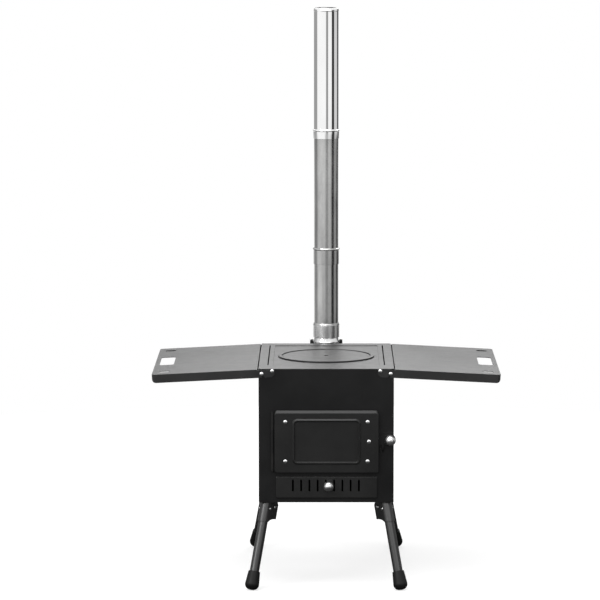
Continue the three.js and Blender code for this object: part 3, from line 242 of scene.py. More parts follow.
def addWalls():
    bm = bmesh.new()
    low, high = studio["wallFoot"] * mm, studio["wallTop"] * mm
    bmesh.ops.create_cone(bm, cap_ends=False, segments=96, radius1=studio["wallRadius"] * mm,
                          radius2=studio["wallRadius"] * mm, depth=high - low,
                          matrix=Matrix.Translation((0, 0, (low + high) / 2)))
    onlyMirrored(stageObject("walls", bm, wallMaterial()))


def addCard():
    card = studio["card"]
    material = bpy.data.materials.new("darkCard")
    material.use_nodes = True
    bsdf = material.node_tree.nodes["Principled BSDF"]
    bsdf.inputs["Base Color"].default_value = card["colour"]
    bsdf.inputs["Roughness"].default_value = 1
    bsdf.inputs["Specular IOR Level"].default_value = 0
    (x0, x1), (y0, y1) = card["x"], card["y"]
    bm = bmesh.new()
    bmesh.ops.create_grid(bm, x_segments=1, y_segments=1, size=0.5,
                          matrix=Matrix.Translation(Vector(((x0 + x1) / 2, (y0 + y1) / 2, card["z"])) * mm)
                          @ Matrix.Diagonal(((x1 - x0) * mm, (y1 - y0) * mm, 1, 1)))
    onlyMirrored(stageObject("card", bm, material))


# Places and sizes in metres
lamps = {
    "overhead": {"at": (-0.6, -0.8, 3.4), "aim": (0, 0, 0.4), "size": (2.6, 2.2), "power": 60,
                 "mirrored": True},
    "left": {"at": (-3.0, -2.8, 2.6), "aim": (0, 0, 0.3), "size": (1.8, 1.6), "power": 52, "mirrored": True},
    "right": {"at": (3.4, -1.6, 1.6), "aim": (0, 0, 0.5), "size": (1.2, 2.0), "power": 20, "mirrored": False},
    "front": {"at": (0, -3.4, 2.3), "aim": (0, 0, 0.1), "size": (6, 0.9), "power": 40, "mirrored": True},
    "back": {"at": (0.4, 3.4, 2.4), "aim": (0, 0, 0.4), "size": (2.4, 1.4), "power": 40, "mirrored": True},
}


def addLamps():
    for name, lamp in lamps.items():
        data = bpy.data.lights.new(name, "AREA")
        data.shape = "RECTANGLE"
        data.size, data.size_y = lamp["size"]
        data.energy = lamp["power"]
        lampObject = bpy.data.objects.new(name, data)
        lampObject.location = lamp["at"]
        away = Vector(lamp["aim"]) - Vector(lamp["at"])
        lampObject.rotation_euler = away.to_track_quat("-Z", "Y").to_euler()
        lampObject.visible_glossy = lamp["mirrored"]
        bpy.context.scene.collection.objects.link(lampObject)


addCamera()
addWorld()
addFloor()
addWalls()
addCard()
addLamps()
bpy.context.scene.view_settings.view_transform = "Standard"
print("stage: camera, floor and light")


# Effects shared by the materials

def newGroup(name, inputs, outputs):
    tree = bpy.data.node_groups.new(name, "ShaderNodeTree")
    for label, value in inputs.items():
        socket = tree.interface.new_socket(label, in_out="INPUT", socket_type="NodeSocketFloat")
        socket.default_value = value
    for label, kind in outputs.items():
        tree.interface.new_socket(label, in_out="OUTPUT", socket_type=kind)
    start = addNode(tree, "NodeGroupInput", (-1000, 0))
    end = addNode(tree, "NodeGroupOutput", (700, 0))
    coords = addNode(tree, "ShaderNodeTexCoord", (-1000, -300))
    return tree, start, end, coords.outputs["Object"]


def noise(tree, vector, scale, detail, rough, at):
    texture = addNode(tree, "ShaderNodeTexNoise", at)
    link(tree, vector, texture.inputs["Vector"])
    texture.inputs["Detail"].default_value = detail
    texture.inputs["Roughness"].default_value = rough
    if isinstance(scale, (int, float)):
        texture.inputs["Scale"].default_value = scale
    else:
        link(tree, scale, texture.inputs["Scale"])
    return texture.outputs["Fac"]


def spread(tree, value, fromLow, fromHigh, low, high, at):
    scaled = addNode(tree, "ShaderNodeMapRange", at)
    link(tree, value, scaled.inputs["Value"])
    for socket, amount in zip(("From Min", "From Max", "To Min", "To Max"), (fromLow, fromHigh, low, high)):
        if isinstance(amount, (int, float)):
            scaled.inputs[socket].default_value = amount
        else:
            link(tree, amount, scaled.inputs[socket])
    return scaled.outputs["Result"]


def stretched(tree, vector, scale, at):
    mapping = addNode(tree, "ShaderNodeMapping", at)
    mapping.inputs["Scale"].default_value = scale
    link(tree, vector, mapping.inputs["Vector"])
    return mapping.outputs["Vector"]


sprayed = {"patch": 6.5, "drift": 41.0, "driftShare": 0.35, "range": (0.45, 0.9)}
rolled = {"lines": (620, 620, 7), "cloud": (26, 26, 9), "marks": (120, 120, 60), "marksShare": 0.4,
          "range": (0.45, 0.95)}
bumpDepth = {"paint": 0.4, "steel": 0.3}


def sprayGroup():
    tree, start, end, where = newGroup("sprayedGrain", {"Scale": 900, "Low": 0.3, "High": 0.5},
                                       {"Height": "NodeSocketFloat", "Roughness": "NodeSocketFloat",
                                        "Patch": "NodeSocketFloat"})
    fine = noise(tree, where, start.outputs["Scale"], 2.0, 0.6, (-600, 200))
    patch = noise(tree, where, sprayed["patch"], 4.0, 0.6, (-600, -100))
    drift = noise(tree, where, sprayed["drift"], 3.0, 0.5, (-600, -400))
    blend = addNode(tree, "ShaderNodeMath", (-300, -200), operation="MULTIPLY_ADD")
    link(tree, drift, blend.inputs[0])
    blend.inputs[1].default_value = sprayed["driftShare"]
    link(tree, patch, blend.inputs[2])
    rough = spread(tree, blend.outputs[0], *sprayed["range"], start.outputs["Low"], start.outputs["High"],
                   (0, -200))
    link(tree, fine, end.inputs["Height"])
    link(tree, rough, end.inputs["Roughness"])
    link(tree, patch, end.inputs["Patch"])
    return tree


def rolledGroup():
    tree, start, end, where = newGroup("rolledSteel", {"Low": 0.15, "High": 0.3, "Lines": 1.0},
                                       {"Height": "NodeSocketFloat", "Roughness": "NodeSocketFloat",
                                        "Cloud": "NodeSocketFloat"})
    lines = noise(tree, stretched(tree, where, rolled["lines"], (-800, 200)), 1.0, 3.0, 0.65, (-500, 200))
    cloud = noise(tree, stretched(tree, where, rolled["cloud"], (-800, -100)), 1.0, 4.0, 0.62, (-500, -100))
    marks = noise(tree, stretched(tree, where, rolled["marks"], (-800, -400)), 1.0, 5.0, 0.7, (-500, -400))
    mixed = addNode(tree, "ShaderNodeMath", (-250, -200), operation="MULTIPLY_ADD")
    link(tree, marks, mixed.inputs[0])
    mixed.inputs[1].default_value = rolled["marksShare"]
    link(tree, cloud, mixed.inputs[2])
    rough = spread(tree, mixed.outputs[0], *rolled["range"], start.outputs["Low"], start.outputs["High"],
                   (0, -200))
    height = addNode(tree, "ShaderNodeMath", (0, 200), operation="MULTIPLY")
    link(tree, lines, height.inputs[0])
    link(tree, start.outputs["Lines"], height.inputs[1])
    link(tree, height.outputs[0], end.inputs["Height"])
    link(tree, rough, end.inputs["Roughness"])
    link(tree, cloud, end.inputs["Cloud"])
    return tree


sprayedGrain = sprayGroup()
rolledSteel = rolledGroup()


def startMaterial(name):
    material = bpy.data.materials.new(name)
    material.use_nodes = True
    tree = material.node_tree
    return material, tree, tree.nodes["Principled BSDF"]


def useGroup(tree, group, values, at):
    node = addNode(tree, "ShaderNodeGroup", at, node_tree=group)
    for label, value in values.items():
        node.inputs[label].default_value = value
    return node


def tinted(tree, fac, low, high):
    ramp = addNode(tree, "ShaderNodeValToRGB", (-300, 300))
    for stop, position, colour in zip(ramp.color_ramp.elements, (0.35, 0.65), (low, high)):
        stop.position = position
        stop.color = (*colour, 1)
    link(tree, fac, ramp.inputs["Fac"])
    return ramp.outputs["Color"]


def bumped(tree, bsdf, height, strength, distance):
    bump = addNode(tree, "ShaderNodeBump", (-300, -300))
    bump.inputs["Strength"].default_value = strength
    bump.inputs["Distance"].default_value = distance
    link(tree, height, bump.inputs["Height"])
    link(tree, bump.outputs["Normal"], bsdf.inputs["Normal"])


paints = {
    "stovePaint": {"low": (0.0042, 0.0042, 0.0044), "high": (0.0072, 0.0072, 0.0074), "rough": (0.34, 0.46),
                   "scale": 1150, "bump": 0.10, "gloss": 1.35},
    "doorPaint": {"low": (0.0088, 0.0088, 0.0088), "high": (0.0122, 0.0122, 0.012), "rough": (0.32, 0.42),
                  "scale": 1150, "bump": 0.10, "gloss": 1.38},
    # painted light: the same black paint as the body, given a lighter colour on the plate, lid and shelves
    # because they face the overhead light
    "topPaintPaintedLight": {"low": (0.012, 0.012, 0.0124), "high": (0.018, 0.018, 0.018), "rough": (0.30, 0.42),
                 "scale": 1000, "bump": 0.12, "gloss": 1.46},
    "legPaint": {"low": (0.007, 0.007, 0.0072), "high": (0.012, 0.012, 0.012), "rough": (0.24, 0.34),
                 "scale": 1400, "bump": 0.05, "gloss": 1.6},
    "innerPaint": {"low": (0.006, 0.006, 0.006), "high": (0.011, 0.0105, 0.010), "rough": (0.5, 0.66),
                   "scale": 800, "bump": 0.2, "gloss": 1.33},
    # painted shade for the folds of the pressed dish: near black and without sheen
    "paintedFoldShade": {"low": (0.003, 0.003, 0.003), "high": (0.006, 0.006, 0.006), "rough": (0.6, 0.7),
                  "scale": 800, "bump": 0.1, "gloss": 1.02},
}

steels = {
    "satinPipe": {"low": (0.40, 0.40, 0.397), "high": (0.56, 0.56, 0.555), "rough": (0.12, 0.24),
                  "lines": 1.0, "bump": 0.04},
    "polishedPipe": {"low": (0.90, 0.90, 0.90), "high": (0.94, 0.94, 0.94), "rough": (0.035, 0.07),
                     "lines": 0.5, "bump": 0.02},
    "brightSteel": {"low": (0.70, 0.70, 0.70), "high": (0.78, 0.78, 0.78), "rough": (0.10, 0.20),
                    "lines": 0.3, "bump": 0.02},
    "knobSteel": {"low": (0.52, 0.52, 0.52), "high": (0.72, 0.72, 0.72), "rough": (0.24, 0.42),
                  "lines": 0.3, "bump": 0.05},
    "collarSteel": {"low": (0.62, 0.62, 0.62), "high": (0.80, 0.80, 0.80), "rough": (0.18, 0.32),
                    "lines": 0.8, "bump": 0.04},
}


def paintMaterial(name, values):
    material, tree, bsdf = startMaterial(name)
    grain = useGroup(tree, sprayedGrain, {"Scale": values["scale"], "Low": values["rough"][0],
                                          "High": values["rough"][1]}, (-700, 0))
    colour = tinted(tree, grain.outputs["Patch"], values["low"], values["high"])
    link(tree, colour, bsdf.inputs["Base Color"])
    link(tree, grain.outputs["Roughness"], bsdf.inputs["Roughness"])
    bsdf.inputs["IOR"].default_value = values["gloss"]
    bumped(tree, bsdf, grain.outputs["Height"], values["bump"], bumpDepth["paint"] * mm)
    return material


def steelMaterial(name, values):
    material, tree, bsdf = startMaterial(name)
    steel = useGroup(tree, rolledSteel, {"Low": values["rough"][0], "High": values["rough"][1],
                                         "Lines": values["lines"]}, (-700, 0))
    colour = tinted(tree, steel.outputs["Cloud"], values["low"], values["high"])
    link(tree, colour, bsdf.inputs["Base Color"])
    link(tree, steel.outputs["Roughness"], bsdf.inputs["Roughness"])
    bsdf.inputs["Metallic"].default_value = 1
    bumped(tree, bsdf, steel.outputs["Height"], values["bump"], bumpDepth["steel"] * mm)
    return material


rubber = {"low": (0.0035, 0.0035, 0.0035), "high": (0.0065, 0.0065, 0.0065), "rough": (0.42, 0.56),
          "scale": 700, "bump": 0.12, "gloss": 1.3}
materials = {name: paintMaterial(name, values) for name, values in paints.items()}
materials.update({name: steelMaterial(name, values) for name, values in steels.items()})
materials["footRubber"] = paintMaterial("footRubber", rubber)
print("stage: materials")


# Shape tools

bodyOf = {}
for bodyName, members in frame["record"]["behaviour"]["bodies"].items():
    for member in members:
        bodyOf[member] = bodyName


angles = {"soften": 32, "smooth": 38, "flat": 0.6}
mergeDistance = {"spun": 0.002, "solid": 0.003}
cutEdge = 0.3  # the small bevel where a tube is cut


# Rounds the edges that turn sharply.
def soften(bm, width, segments):
    limit = math.radians(angles["soften"])
    sharp = [edge for edge in bm.edges if len(edge.link_faces) == 2 and edge.calc_face_angle(0) > limit]
    bmesh.ops.bevel(bm, geom=sharp, offset=width * mm, offset_type="OFFSET", affect="EDGES",
                    segments=segments, profile=0.5, clamp_overlap=True, material=-1)


# A profile of (radius, height) points, turned about the upright axis.
def spun(profile, steps, closed=False):
    bm = bmesh.new()
    verts = [bm.verts.new((r * mm, 0, z * mm)) for r, z in profile]
    edges = [bm.edges.new(pair) for pair in zip(verts, verts[1:])]
    if closed:
        edges.append(bm.edges.new((verts[-1], verts[0])))
    bmesh.ops.spin(bm, geom=verts + edges, cent=(0, 0, 0), axis=(0, 0, 1), dvec=(0, 0, 0),
                   angle=math.tau, steps=steps, use_merge=True, use_duplicate=False)
    bmesh.ops.remove_doubles(bm, verts=bm.verts[:], dist=mergeDistance["spun"] * mm)
    bmesh.ops.recalc_face_normals(bm, faces=bm.faces[:])
    return bm


def place(bm, matrix):
    bmesh.ops.transform(bm, matrix=matrix, verts=bm.verts[:])
    return bm


# Large faces decide the normals at their corners, so that flat sheet stays flat up to its rounded edges.
def weighNormals(mesh):
    limit = math.cos(math.radians(angles["smooth"]))
    around = [[] for vert in mesh.vertices]
    for face in mesh.polygons:
        share = (face.normal.copy(), face.normal * face.area)
        for vert in face.vertices:
            around[vert].append(share)
    normals = []
    for face in mesh.polygons:
        own = face.normal.copy()
        for vert in face.vertices:
            total = Vector()
            for normal, weighted in around[vert]:
                if own.dot(normal) > limit:
                    total += weighted
            normals.append(total.normalized() if total.length else own)
    mesh.normals_split_custom_set(normals)


def finishPiece(name, bm, finish, node):
    mesh = bpy.data.meshes.new(name)
    bm.to_mesh(mesh)
    bm.free()
    mesh.shade_smooth()
    weighNormals(mesh)
    mesh.materials.append(materials[finish])
    piece = bpy.data.objects.new(name, mesh)
    bpy.context.scene.collection.objects.link(piece)
    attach(piece, bodyOf[node])
    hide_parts(node)
    return piece


# A copy of a CAD solid with rounded edges.
def softenedCopy(node, finish, width, segments, name=None, extra=None):
    bm = bmesh.new()
    bm.from_mesh(nodes[node].data)
    bmesh.ops.remove_doubles(bm, verts=bm.verts[:], dist=mergeDistance["solid"] * mm)
    bmesh.ops.dissolve_limit(bm, angle_limit=math.radians(angles["flat"]), use_dissolve_boundaries=False,
                             verts=bm.verts[:], edges=bm.edges[:])
    soften(bm, width, segments)
    if extra:
        bm = joined(node, [bm, extra])
    return finishPiece(name or node + "_sheet", bm, finish, node)


# Rows of points, each joined to the one before: faces close both ends, or the last row joins the first.
def ringLoft(rows, closed=False):
    bm = bmesh.new()
    number = bm.verts.layers.int.new("place")
    count = len(rows[0])
    verts = [bm.verts.new(point) for point in rows[0]]
    for i, vert in enumerate(verts):
        vert[number] = i
    first = edges = [bm.edges.new((verts[i], verts[(i + 1) % count])) for i in range(count)]
    if not closed:
        bmesh.ops.contextual_create(bm, geom=edges)
    for row in rows[1:]:
        made = bmesh.ops.extrude_edge_only(bm, edges=edges)["geom"]
        edges = [part for part in made if isinstance(part, bmesh.types.BMEdge)]
        for vert in [part for part in made if isinstance(part, bmesh.types.BMVert)]:
            vert.co = row[vert[number]]
    if closed:
        bmesh.ops.bridge_loops(bm, edges=first + edges)
    else:
        bmesh.ops.contextual_create(bm, geom=edges)
    bmesh.ops.recalc_face_normals(bm, faces=bm.faces[:])
    return bm


def joined(name, shapes):
    bm = bmesh.new()
    for shape in shapes:
        mesh = bpy.data.meshes.new(name)
        shape.to_mesh(mesh)
        shape.free()
        bm.from_mesh(mesh)
        bpy.data.meshes.remove(mesh)
    return bm


def centreOf(node):
    low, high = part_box(node)
    return (low + high) / 2


# Chimney

chimney = {
    "radius": 30, "wall": 0.9, "slip": 0.6, "steps": 96,
    "bead": 1.5, "beadHalf": 2.2, "beadSteps": 10, "beadGap": 0.4, "beadFall": [(0.5, 0.7), (0, 2.2)],
    "skirtEdge": 0.4, "collarEdge": 0.4, "collarSlip": 0.3,
    "lowerLength": 187, "middleLength": 292, "topLength": 300,
    "socket": 26, "middleSkirt": 37, "topSkirt": 20,
    "collarRadius": 32.5, "collarWall": 1.3, "collarHeight": 31.4, "collarRise": 21.6,
    "collarFoot": [(1.1, 0), (0.3, 0.35), (0, 1.1)],
    "neckRadius": 28.7, "neckBore": 27, "neckHeight": 25,
    "neckFlare": [(0, 0.2), (0, 9.5), (3.4, 10), (4, 10.6), (4, 11.8), (3.4, 13), (0.6, 20), (0, 21.2)],
    "ears": {"x": 34.5, "radius": 5.5, "height": 15.5, "round": [(0, 3.4), (0.5, 1.7), (1.7, 0.5), (3.4, 0)]},
    "foot": {"x": 41, "y": 37.5, "thick": 2.5, "round": 0.5},
    # the rolled top edge: outwards from the pipe and down from its top
    "topRoll": [(0, 9.4), (0.35, 8.6), (0.5, 7.6), (0.45, 5.4), (0.05, 3.6), (-0.55, 2.0), (-1.1, 0.9),
                (-1.5, 0.25), (-1.9, 0)],
    "topMouth": [(1.6, 0), (0.7, 5), (0, 9)],
}
chimneyAt = centreOf("flue_collar")


def beadArc(radius, z, start, end):
    points = []
    steps = chimney["beadSteps"]
    for i in range(steps + 1):
        turn = math.radians(start + (end - start) * i / steps)
        points.append((radius + chimney["bead"] * math.cos(turn), z + chimney["beadHalf"] * math.sin(turn)))
    return points


def upright(z):
    return Matrix.Translation((chimneyAt.x, chimneyAt.y, z))


def lowerPipeShape():
    c = chimney
    r, inner, h = c["radius"], c["radius"] - c["wall"], c["beadHalf"]
    profile = [(inner, -c["socket"]), (r, -c["socket"]), (r, 0), (c["collarRadius"], 0)]
    profile += beadArc(r, h, -20, 90)[1:]
    profile += [(r, 2 * h + c["beadGap"]), (r, c["lowerLength"] - cutEdge), (r - cutEdge, c["lowerLength"]),
                (inner, c["lowerLength"])]
    return spun(profile, c["steps"], closed=True)


def upperPipeShape(length, skirt, rounded):
    c = chimney
    r, inner = c["radius"], c["radius"] - c["wall"]
    socket = r + c["slip"]
    outer = socket + c["wall"]
    profile = [(inner, 0), (socket - cutEdge, 0), (socket, -c["skirtEdge"]), (socket, -skirt),
               (outer - cutEdge, -skirt), (outer, -skirt + c["skirtEdge"])]
    profile += [(outer, -c["beadHalf"] - 2 * c["beadGap"])] + beadArc(outer, 0, -90, 60)
    profile += [(r + out, c["beadHalf"] + up) for out, up in c["beadFall"]]
    if rounded:
        profile += [(r + out, length - down) for out, down in c["topRoll"]]
        profile += [(inner - back, length - down) for back, down in c["topMouth"]]
    else:
        profile += [(r, length - cutEdge), (r - cutEdge, length), (inner, length)]
    return spun(profile, c["steps"], closed=True)


def ellipseRow(radiusX, radiusY, z):
    turns = [math.tau * i / chimney["steps"] for i in range(chimney["steps"])]
    return [Vector((radiusX * math.cos(turn), radiusY * math.sin(turn), z)) * mm for turn in turns]


def flangeShape():
    c, foot, ears = chimney, chimney["foot"], chimney["ears"]
    bore, neck, t = c["neckBore"], c["neckRadius"], foot["thick"]
    plate = ringLoft([ellipseRow(bore, bore, 0), ellipseRow(foot["x"], foot["y"], 0),
                      ellipseRow(foot["x"], foot["y"], t - foot["round"]),
                      ellipseRow(foot["x"] - foot["round"], foot["y"] - foot["round"], t),
                      ellipseRow(bore, bore, t)], closed=True)
    flare = [(neck + out, z) for out, z in c["neckFlare"]]
    tube = spun([(bore, flare[0][1]), *flare, (neck, c["neckHeight"] - cutEdge),
                 (neck - cutEdge, c["neckHeight"]), (bore, c["neckHeight"])], c["steps"], closed=True)
    shapes = [plate, tube]
    r, h = ears["radius"], ears["height"]
    dome = [(r - back, h - down) for back, down in ears["round"]]
    for side in (-1, 1):
        ear = spun([(0, flare[0][1]), (r, flare[0][1]), *dome, (0, h)], 40)
        shapes.append(place(ear, Matrix.Translation((side * ears["x"] * mm, 0, 0))))
    return joined("flange", shapes)


# The cast foot and its ears are dark, and the neck is bare.
def finishFlange(z):
    piece = finishPiece("chimneyFlange", place(flangeShape(), upright(z)), "brightSteel", "flue_flange")
    piece.data.materials.append(materials["stovePaint"])
    neck = chimney["neckRadius"] * mm
    widest = neck + max(out for out, up in chimney["neckFlare"]) * mm
    for face in piece.data.polygons:
        across, along = face.center.x - chimneyAt.x, face.center.y - chimneyAt.y
        inFoot = face.center.z < z + chimney["foot"]["thick"] * mm
        inEar = abs(across) > neck and math.hypot(across, along) > widest + 0.1 * mm
        if inFoot or inEar:
            face.material_index = 1


def buildChimney():
    c = chimney
    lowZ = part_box("lower_pipe")[0].z + c["socket"] * mm
    finishPiece("chimneyLower", place(lowerPipeShape(), upright(lowZ)), "satinPipe", "lower_pipe")
    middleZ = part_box("middle_pipe")[0].z + c["middleSkirt"] * mm
    shape = upperPipeShape(c["middleLength"], c["middleSkirt"], False)
    finishPiece("chimneyMiddle", place(shape, upright(middleZ)), "satinPipe", "middle_pipe")
    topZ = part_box("top_pipe")[0].z + c["topSkirt"] * mm
    shape = upperPipeShape(c["topLength"], c["topSkirt"], True)
    finishPiece("chimneyTop", place(shape, upright(topZ)), "polishedPipe", "top_pipe")
    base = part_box("flue_collar")[0].z
    inner = c["collarRadius"] - c["collarWall"]
    bore = c["neckRadius"] + c["collarSlip"]
    r, h, edge = c["collarRadius"], c["collarHeight"], c["collarEdge"]
    profile = [(bore, 0)] + [(r - back, up) for back, up in c["collarFoot"]]
    profile += [(r, h - edge), (r - edge, h), (inner, h), (inner, c["collarWall"]), (bore, c["collarWall"])]
    shape = place(spun(profile, c["steps"], closed=True), upright(base))
    finishPiece("chimneyCollar", shape, "collarSteel", "flue_collar")
    finishFlange(base - c["collarRise"] * mm)
    softenedCopy("flue_box", "stovePaint", 0.8, 3, "flueBoxSheet")


# What all rivets share: the rim's share of the head's height, the head's undercut, and the tail's edges
rivetForm = {"rim": 0.22, "domeSteps": 8, "undercut": 0.15, "tailRise": 0.1, "tailSquare": 0.6,
             "tailRound": 0.6, "steps": 32}


# A domed head on its shank, with the flattened tail behind what it holds.
def rivetShape(rivet):
    head, height, shank, grip = rivet["head"], rivet["height"], rivet["shank"], rivet["grip"]
    tail, tailHeight = rivet["tail"], rivet["tailHeight"]
    rim, steps = rivetForm["rim"], rivetForm["domeSteps"]
    profile = []
    for i in range(steps + 1):
        turn = math.radians(90 * i / steps)
        profile.append((head * math.sin(turn), height * (rim + (1 - rim) * math.cos(turn))))
    profile += [(head - rivetForm["undercut"], 0), (shank, 0), (shank, -grip),
                (tail, -grip - rivetForm["tailRise"]), (tail, -grip - tailHeight * rivetForm["tailSquare"]),
                (tail - rivetForm["tailRound"], -grip - tailHeight), (0, -grip - tailHeight)]
    return spun(profile, rivetForm["steps"])


def pointing(direction, at):
    turned = Vector((0, 0, 1)).rotation_difference(Vector(direction)).to_matrix().to_4x4()
    return Matrix.Translation(at) @ turned


screw = {"head": 4.2, "height": 2, "shank": 2, "grip": 17.9, "tail": 4, "tailHeight": 2, "below": 5}


def buildScrews():
    for side in ("left", "right"):
        node = "flange_screw_" + side
        low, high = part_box(node)
        at = ((low.x + high.x) / 2, (low.y + high.y) / 2, high.z - screw["below"] * mm)
        shape = place(rivetShape(screw), Matrix.Translation(at))
        finishPiece("flangeScrew_" + side, shape, "brightSteel", node)


buildChimney()
buildScrews()
print("stage: chimney")


# Cooking lid

lid = {
    "radius": 115, "thickness": 3.2, "sheet": 1.6, "rimWidth": 9.5, "spigot": 97.5, "spigotWall": 2,
    "spigotDepth": 8, "liftHole": 5.5, "holeEdge": 0.4, "lowerEdge": 0.25, "steps": 180,
    # the groove at the rim's foot and the rim's two edges: outwards or inwards, and down
    "groove": [(-3, 0), (-2.2, 0.3), (-1.4, 0.85), (-0.1, 0.85), (0.3, 0.4)],
    "rimInside": [(0.5, 0.6), (0.85, 0.15), (1.4, 0)],
    "rimOutside": [(1.3, 0), (0.55, 0.22), (0.12, 0.7), (0, 1.2)],
}


def buildLid():
    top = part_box("lid")[1].z
    t, r, hole, spigot = lid["thickness"], lid["radius"], lid["liftHole"], lid["spigot"]
    middle = lid["sheet"] - t
    wall = r - lid["rimWidth"]
    bottom, bore = -t - lid["spigotDepth"], spigot - lid["spigotWall"]
    profile = [(hole, middle - lid["holeEdge"]), (hole + lid["holeEdge"], middle)]
    profile += [(wall + out, middle - down) for out, down in lid["groove"]]
    profile += [(wall + out, -down) for out, down in lid["rimInside"]]
    profile += [(r - back, -down) for back, down in lid["rimOutside"]]
    profile += [(r, -t + lid["lowerEdge"]), (r - lid["lowerEdge"], -t), (spigot, -t), (spigot, bottom),
                (bore, bottom), (bore, -t), (hole, -t)]
    centre = centreOf("lid")
    shape = place(spun(profile, lid["steps"], closed=True), Matrix.Translation((centre.x, centre.y, top)))
    finishPiece("cookingLid", shape, "topPaintPaintedLight", "lid")


dish = {"side": (121, 129), "depth": 1.5, "tilt": 0.06}


# Painted shade: the steep sides of the pressed dish get a near-black paint without sheen, darker than the
# flat sheet, standing in for the shade that falls in the fold.
def buildPlate():
    piece = softenedCopy("top_plate", "topPaintPaintedLight", 0.9, 3, "cookingPlate")
    piece.data.materials.append(materials["paintedFoldShade"])
    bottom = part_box("top_plate")[1].z - dish["depth"] * mm
    near, far = (side * mm for side in dish["side"])
    for face in piece.data.polygons:
        if near < abs(face.center.x) < far and face.center.z > bottom and abs(face.normal.x) > dish["tilt"]:
            face.material_index = 1


buildLid()
buildPlate()
print("stage: cooking plate and lid")


# Knobs

knob = {"radius": 12.4, "ballSteps": 24, "sunk": 0.8, "neck": 5, "stem": 3, "neckLength": 4,
        "collar": [(1, 2.2), (0.7, 1.6), (0, 1.2)], "drawerStud": 2.1, "drawerNut": (5, 2.2),
        "latchStud": 3.3, "steps": 64}


def knobShape(stud, nut=None):
    r = knob["radius"]
    centre = knob["neckLength"] + r - knob["sunk"]
    neckTurn = math.asin((knob["neck"] - knob["collar"][0][0]) / r)
    steps = knob["ballSteps"]
    profile = []
    for i in range(steps + 1):
        turn = (math.pi - neckTurn) * i / steps
        profile.append((r * math.sin(turn), centre + r * math.cos(turn)))
    profile += [(knob["neck"] - back, up) for back, up in knob["collar"]]
    profile += [(knob["neck"], 0), (knob["stem"], 0), (knob["stem"], -stud)]
    if nut:
        profile += [(nut[0], -stud), (nut[0], -stud - nut[1]), (0, -stud - nut[1])]
    else:
        profile += [(0, -stud)]
    return spun(profile, knob["steps"])


def buildKnobs():
    reach = (knob["neckLength"] + 2 * knob["radius"] - knob["sunk"]) * mm
    for name, node, shape in (("drawerKnob", "drawer_knob", knobShape(knob["drawerStud"], knob["drawerNut"])),
                              ("latchKnob", "latch_knob", knobShape(knob["latchStud"]))):
        low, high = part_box(node)
        at = ((low.x + high.x) / 2, low.y + reach, (low.z + high.z) / 2)
        finishPiece(name, place(shape, pointing((0, -1, 0), at)), "knobSteel", node)


buildKnobs()
print("stage: knobs")


# Rivets

doorRivet = {"head": 5, "height": 2.4, "shank": 2, "grip": 7.8, "tail": 3.6, "tailHeight": 1.1}
latchRivet = {"head": 5, "height": 2.4, "shank": 2, "grip": 11.1, "tail": 3.8, "tailHeight": 1.1}
shelfRivet = {"head": 4.8, "height": 2.6, "shank": 2, "grip": 4.1, "tail": 3.6, "tailHeight": 1.2}


def buildRivets():
    for node in nodes:
        if node.startswith("door_rivet") or node == "latch_rivet":
            values = latchRivet if node == "latch_rivet" else doorRivet
            low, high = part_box(node)
            at = ((low.x + high.x) / 2, low.y + values["height"] * mm, (low.z + high.z) / 2)
            shape = place(rivetShape(values), pointing((0, -1, 0), at))
            finishPiece(node + "_head", shape, "brightSteel", node)
        if node.startswith("shelf_pivot") or node.startswith("shelf_stop"):
            low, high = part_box(node)
            front = "front" in node
            y = low.y + shelfRivet["height"] * mm if front else high.y - shelfRivet["height"] * mm
            at = ((low.x + high.x) / 2, y, (low.z + high.z) / 2)
            shape = place(rivetShape(shelfRivet), pointing((0, -1 if front else 1, 0), at))
            finishPiece(node + "_head", shape, "brightSteel", node)


buildRivets()
print("stage: rivets")


# Door

door = {
    "width": 243.5, "height": 146.6, "corner": 7, "depth": 7.2, "sheet": 1.5,
    # Rows from the face to the back. Each has its distance in from the top and from the other edges, what
    # the corner radius loses, and its place. First comes the slope, wide along the top and narrow round the
    # other edges, measured from the face, and then the edge, measured from the panel.
    "slope": [(7.4, 1.3, 2.6, 0), (6.4, 0.75, 2.4, 0.08), (5.65, 0.35, 2.2, 0.4), (5.1, 0.15, 2.0, 0.85)],
    "edge": [(0.5, 0.05, 0.3, 1.8), (0.15, 0.02, 0.1, 1.35), (0, 0, 0, 0.9), (0, 0, 0, 0), (1.5, 1.5, 1, 0),
             (1.5, 1.5, 1, 1.2)],
    "inside": (6.7, 2.2, 2.6),
    "beadWidth": 161, "beadHeight": 108.4, "beadCorner": 12.5,
    "bead": [(0, 0), (0.3, 0.1), (0.7, 0.45), (2.8, 2.6), (3.2, 2.95), (3.8, 3.15), (4.5, 3.2), (5.2, 3.05),
             (5.7, 2.6), (6.8, 0.5), (7.1, 0.15), (7.5, 0)],
    "arcSegments": 8, "knuckle": 4, "knuckleBore": 2.3, "knuckleSteps": 32, "middleKnuckle": 58,
    "leaf": {"inset": 0.8, "thick": 1.2, "gap": 3, "paintedTo": 0.9},
}


def roundedRow(width, height, radius, y, lift=0):
    steps = door["arcSegments"]
    row = []
    for corner, (sideX, sideZ) in enumerate(((1, 1), (-1, 1), (-1, -1), (1, -1))):
        for step in range(steps + 1):
            turn = math.radians(90 * (corner + step / steps))
            row.append(Vector((sideX * (width / 2 - radius) + radius * math.cos(turn), y,
                               lift + sideZ * (height / 2 - radius) + radius * math.sin(turn))) * mm)
    return row


def doorPanShape():
    d = door
    rows = []
    for inset, rise in reversed(d["bead"]):
        rows.append(roundedRow(d["beadWidth"] - 2 * inset, d["beadHeight"] - 2 * inset,
                               d["beadCorner"] - inset, -d["depth"] - rise))
    back = -d["depth"]
    outline = [(top, side, corner, back + behind) for top, side, corner, behind in d["slope"]]
    outline += [(top, side, corner, -before) for top, side, corner, before in d["edge"]]
    outline.append((*d["inside"], back + d["sheet"]))
    for top, side, corner, y in outline:
        rows.append(roundedRow(d["width"] - 2 * side, d["height"] - top - side, d["corner"] - corner, y,
                               (side - top) / 2))
    return ringLoft(rows)


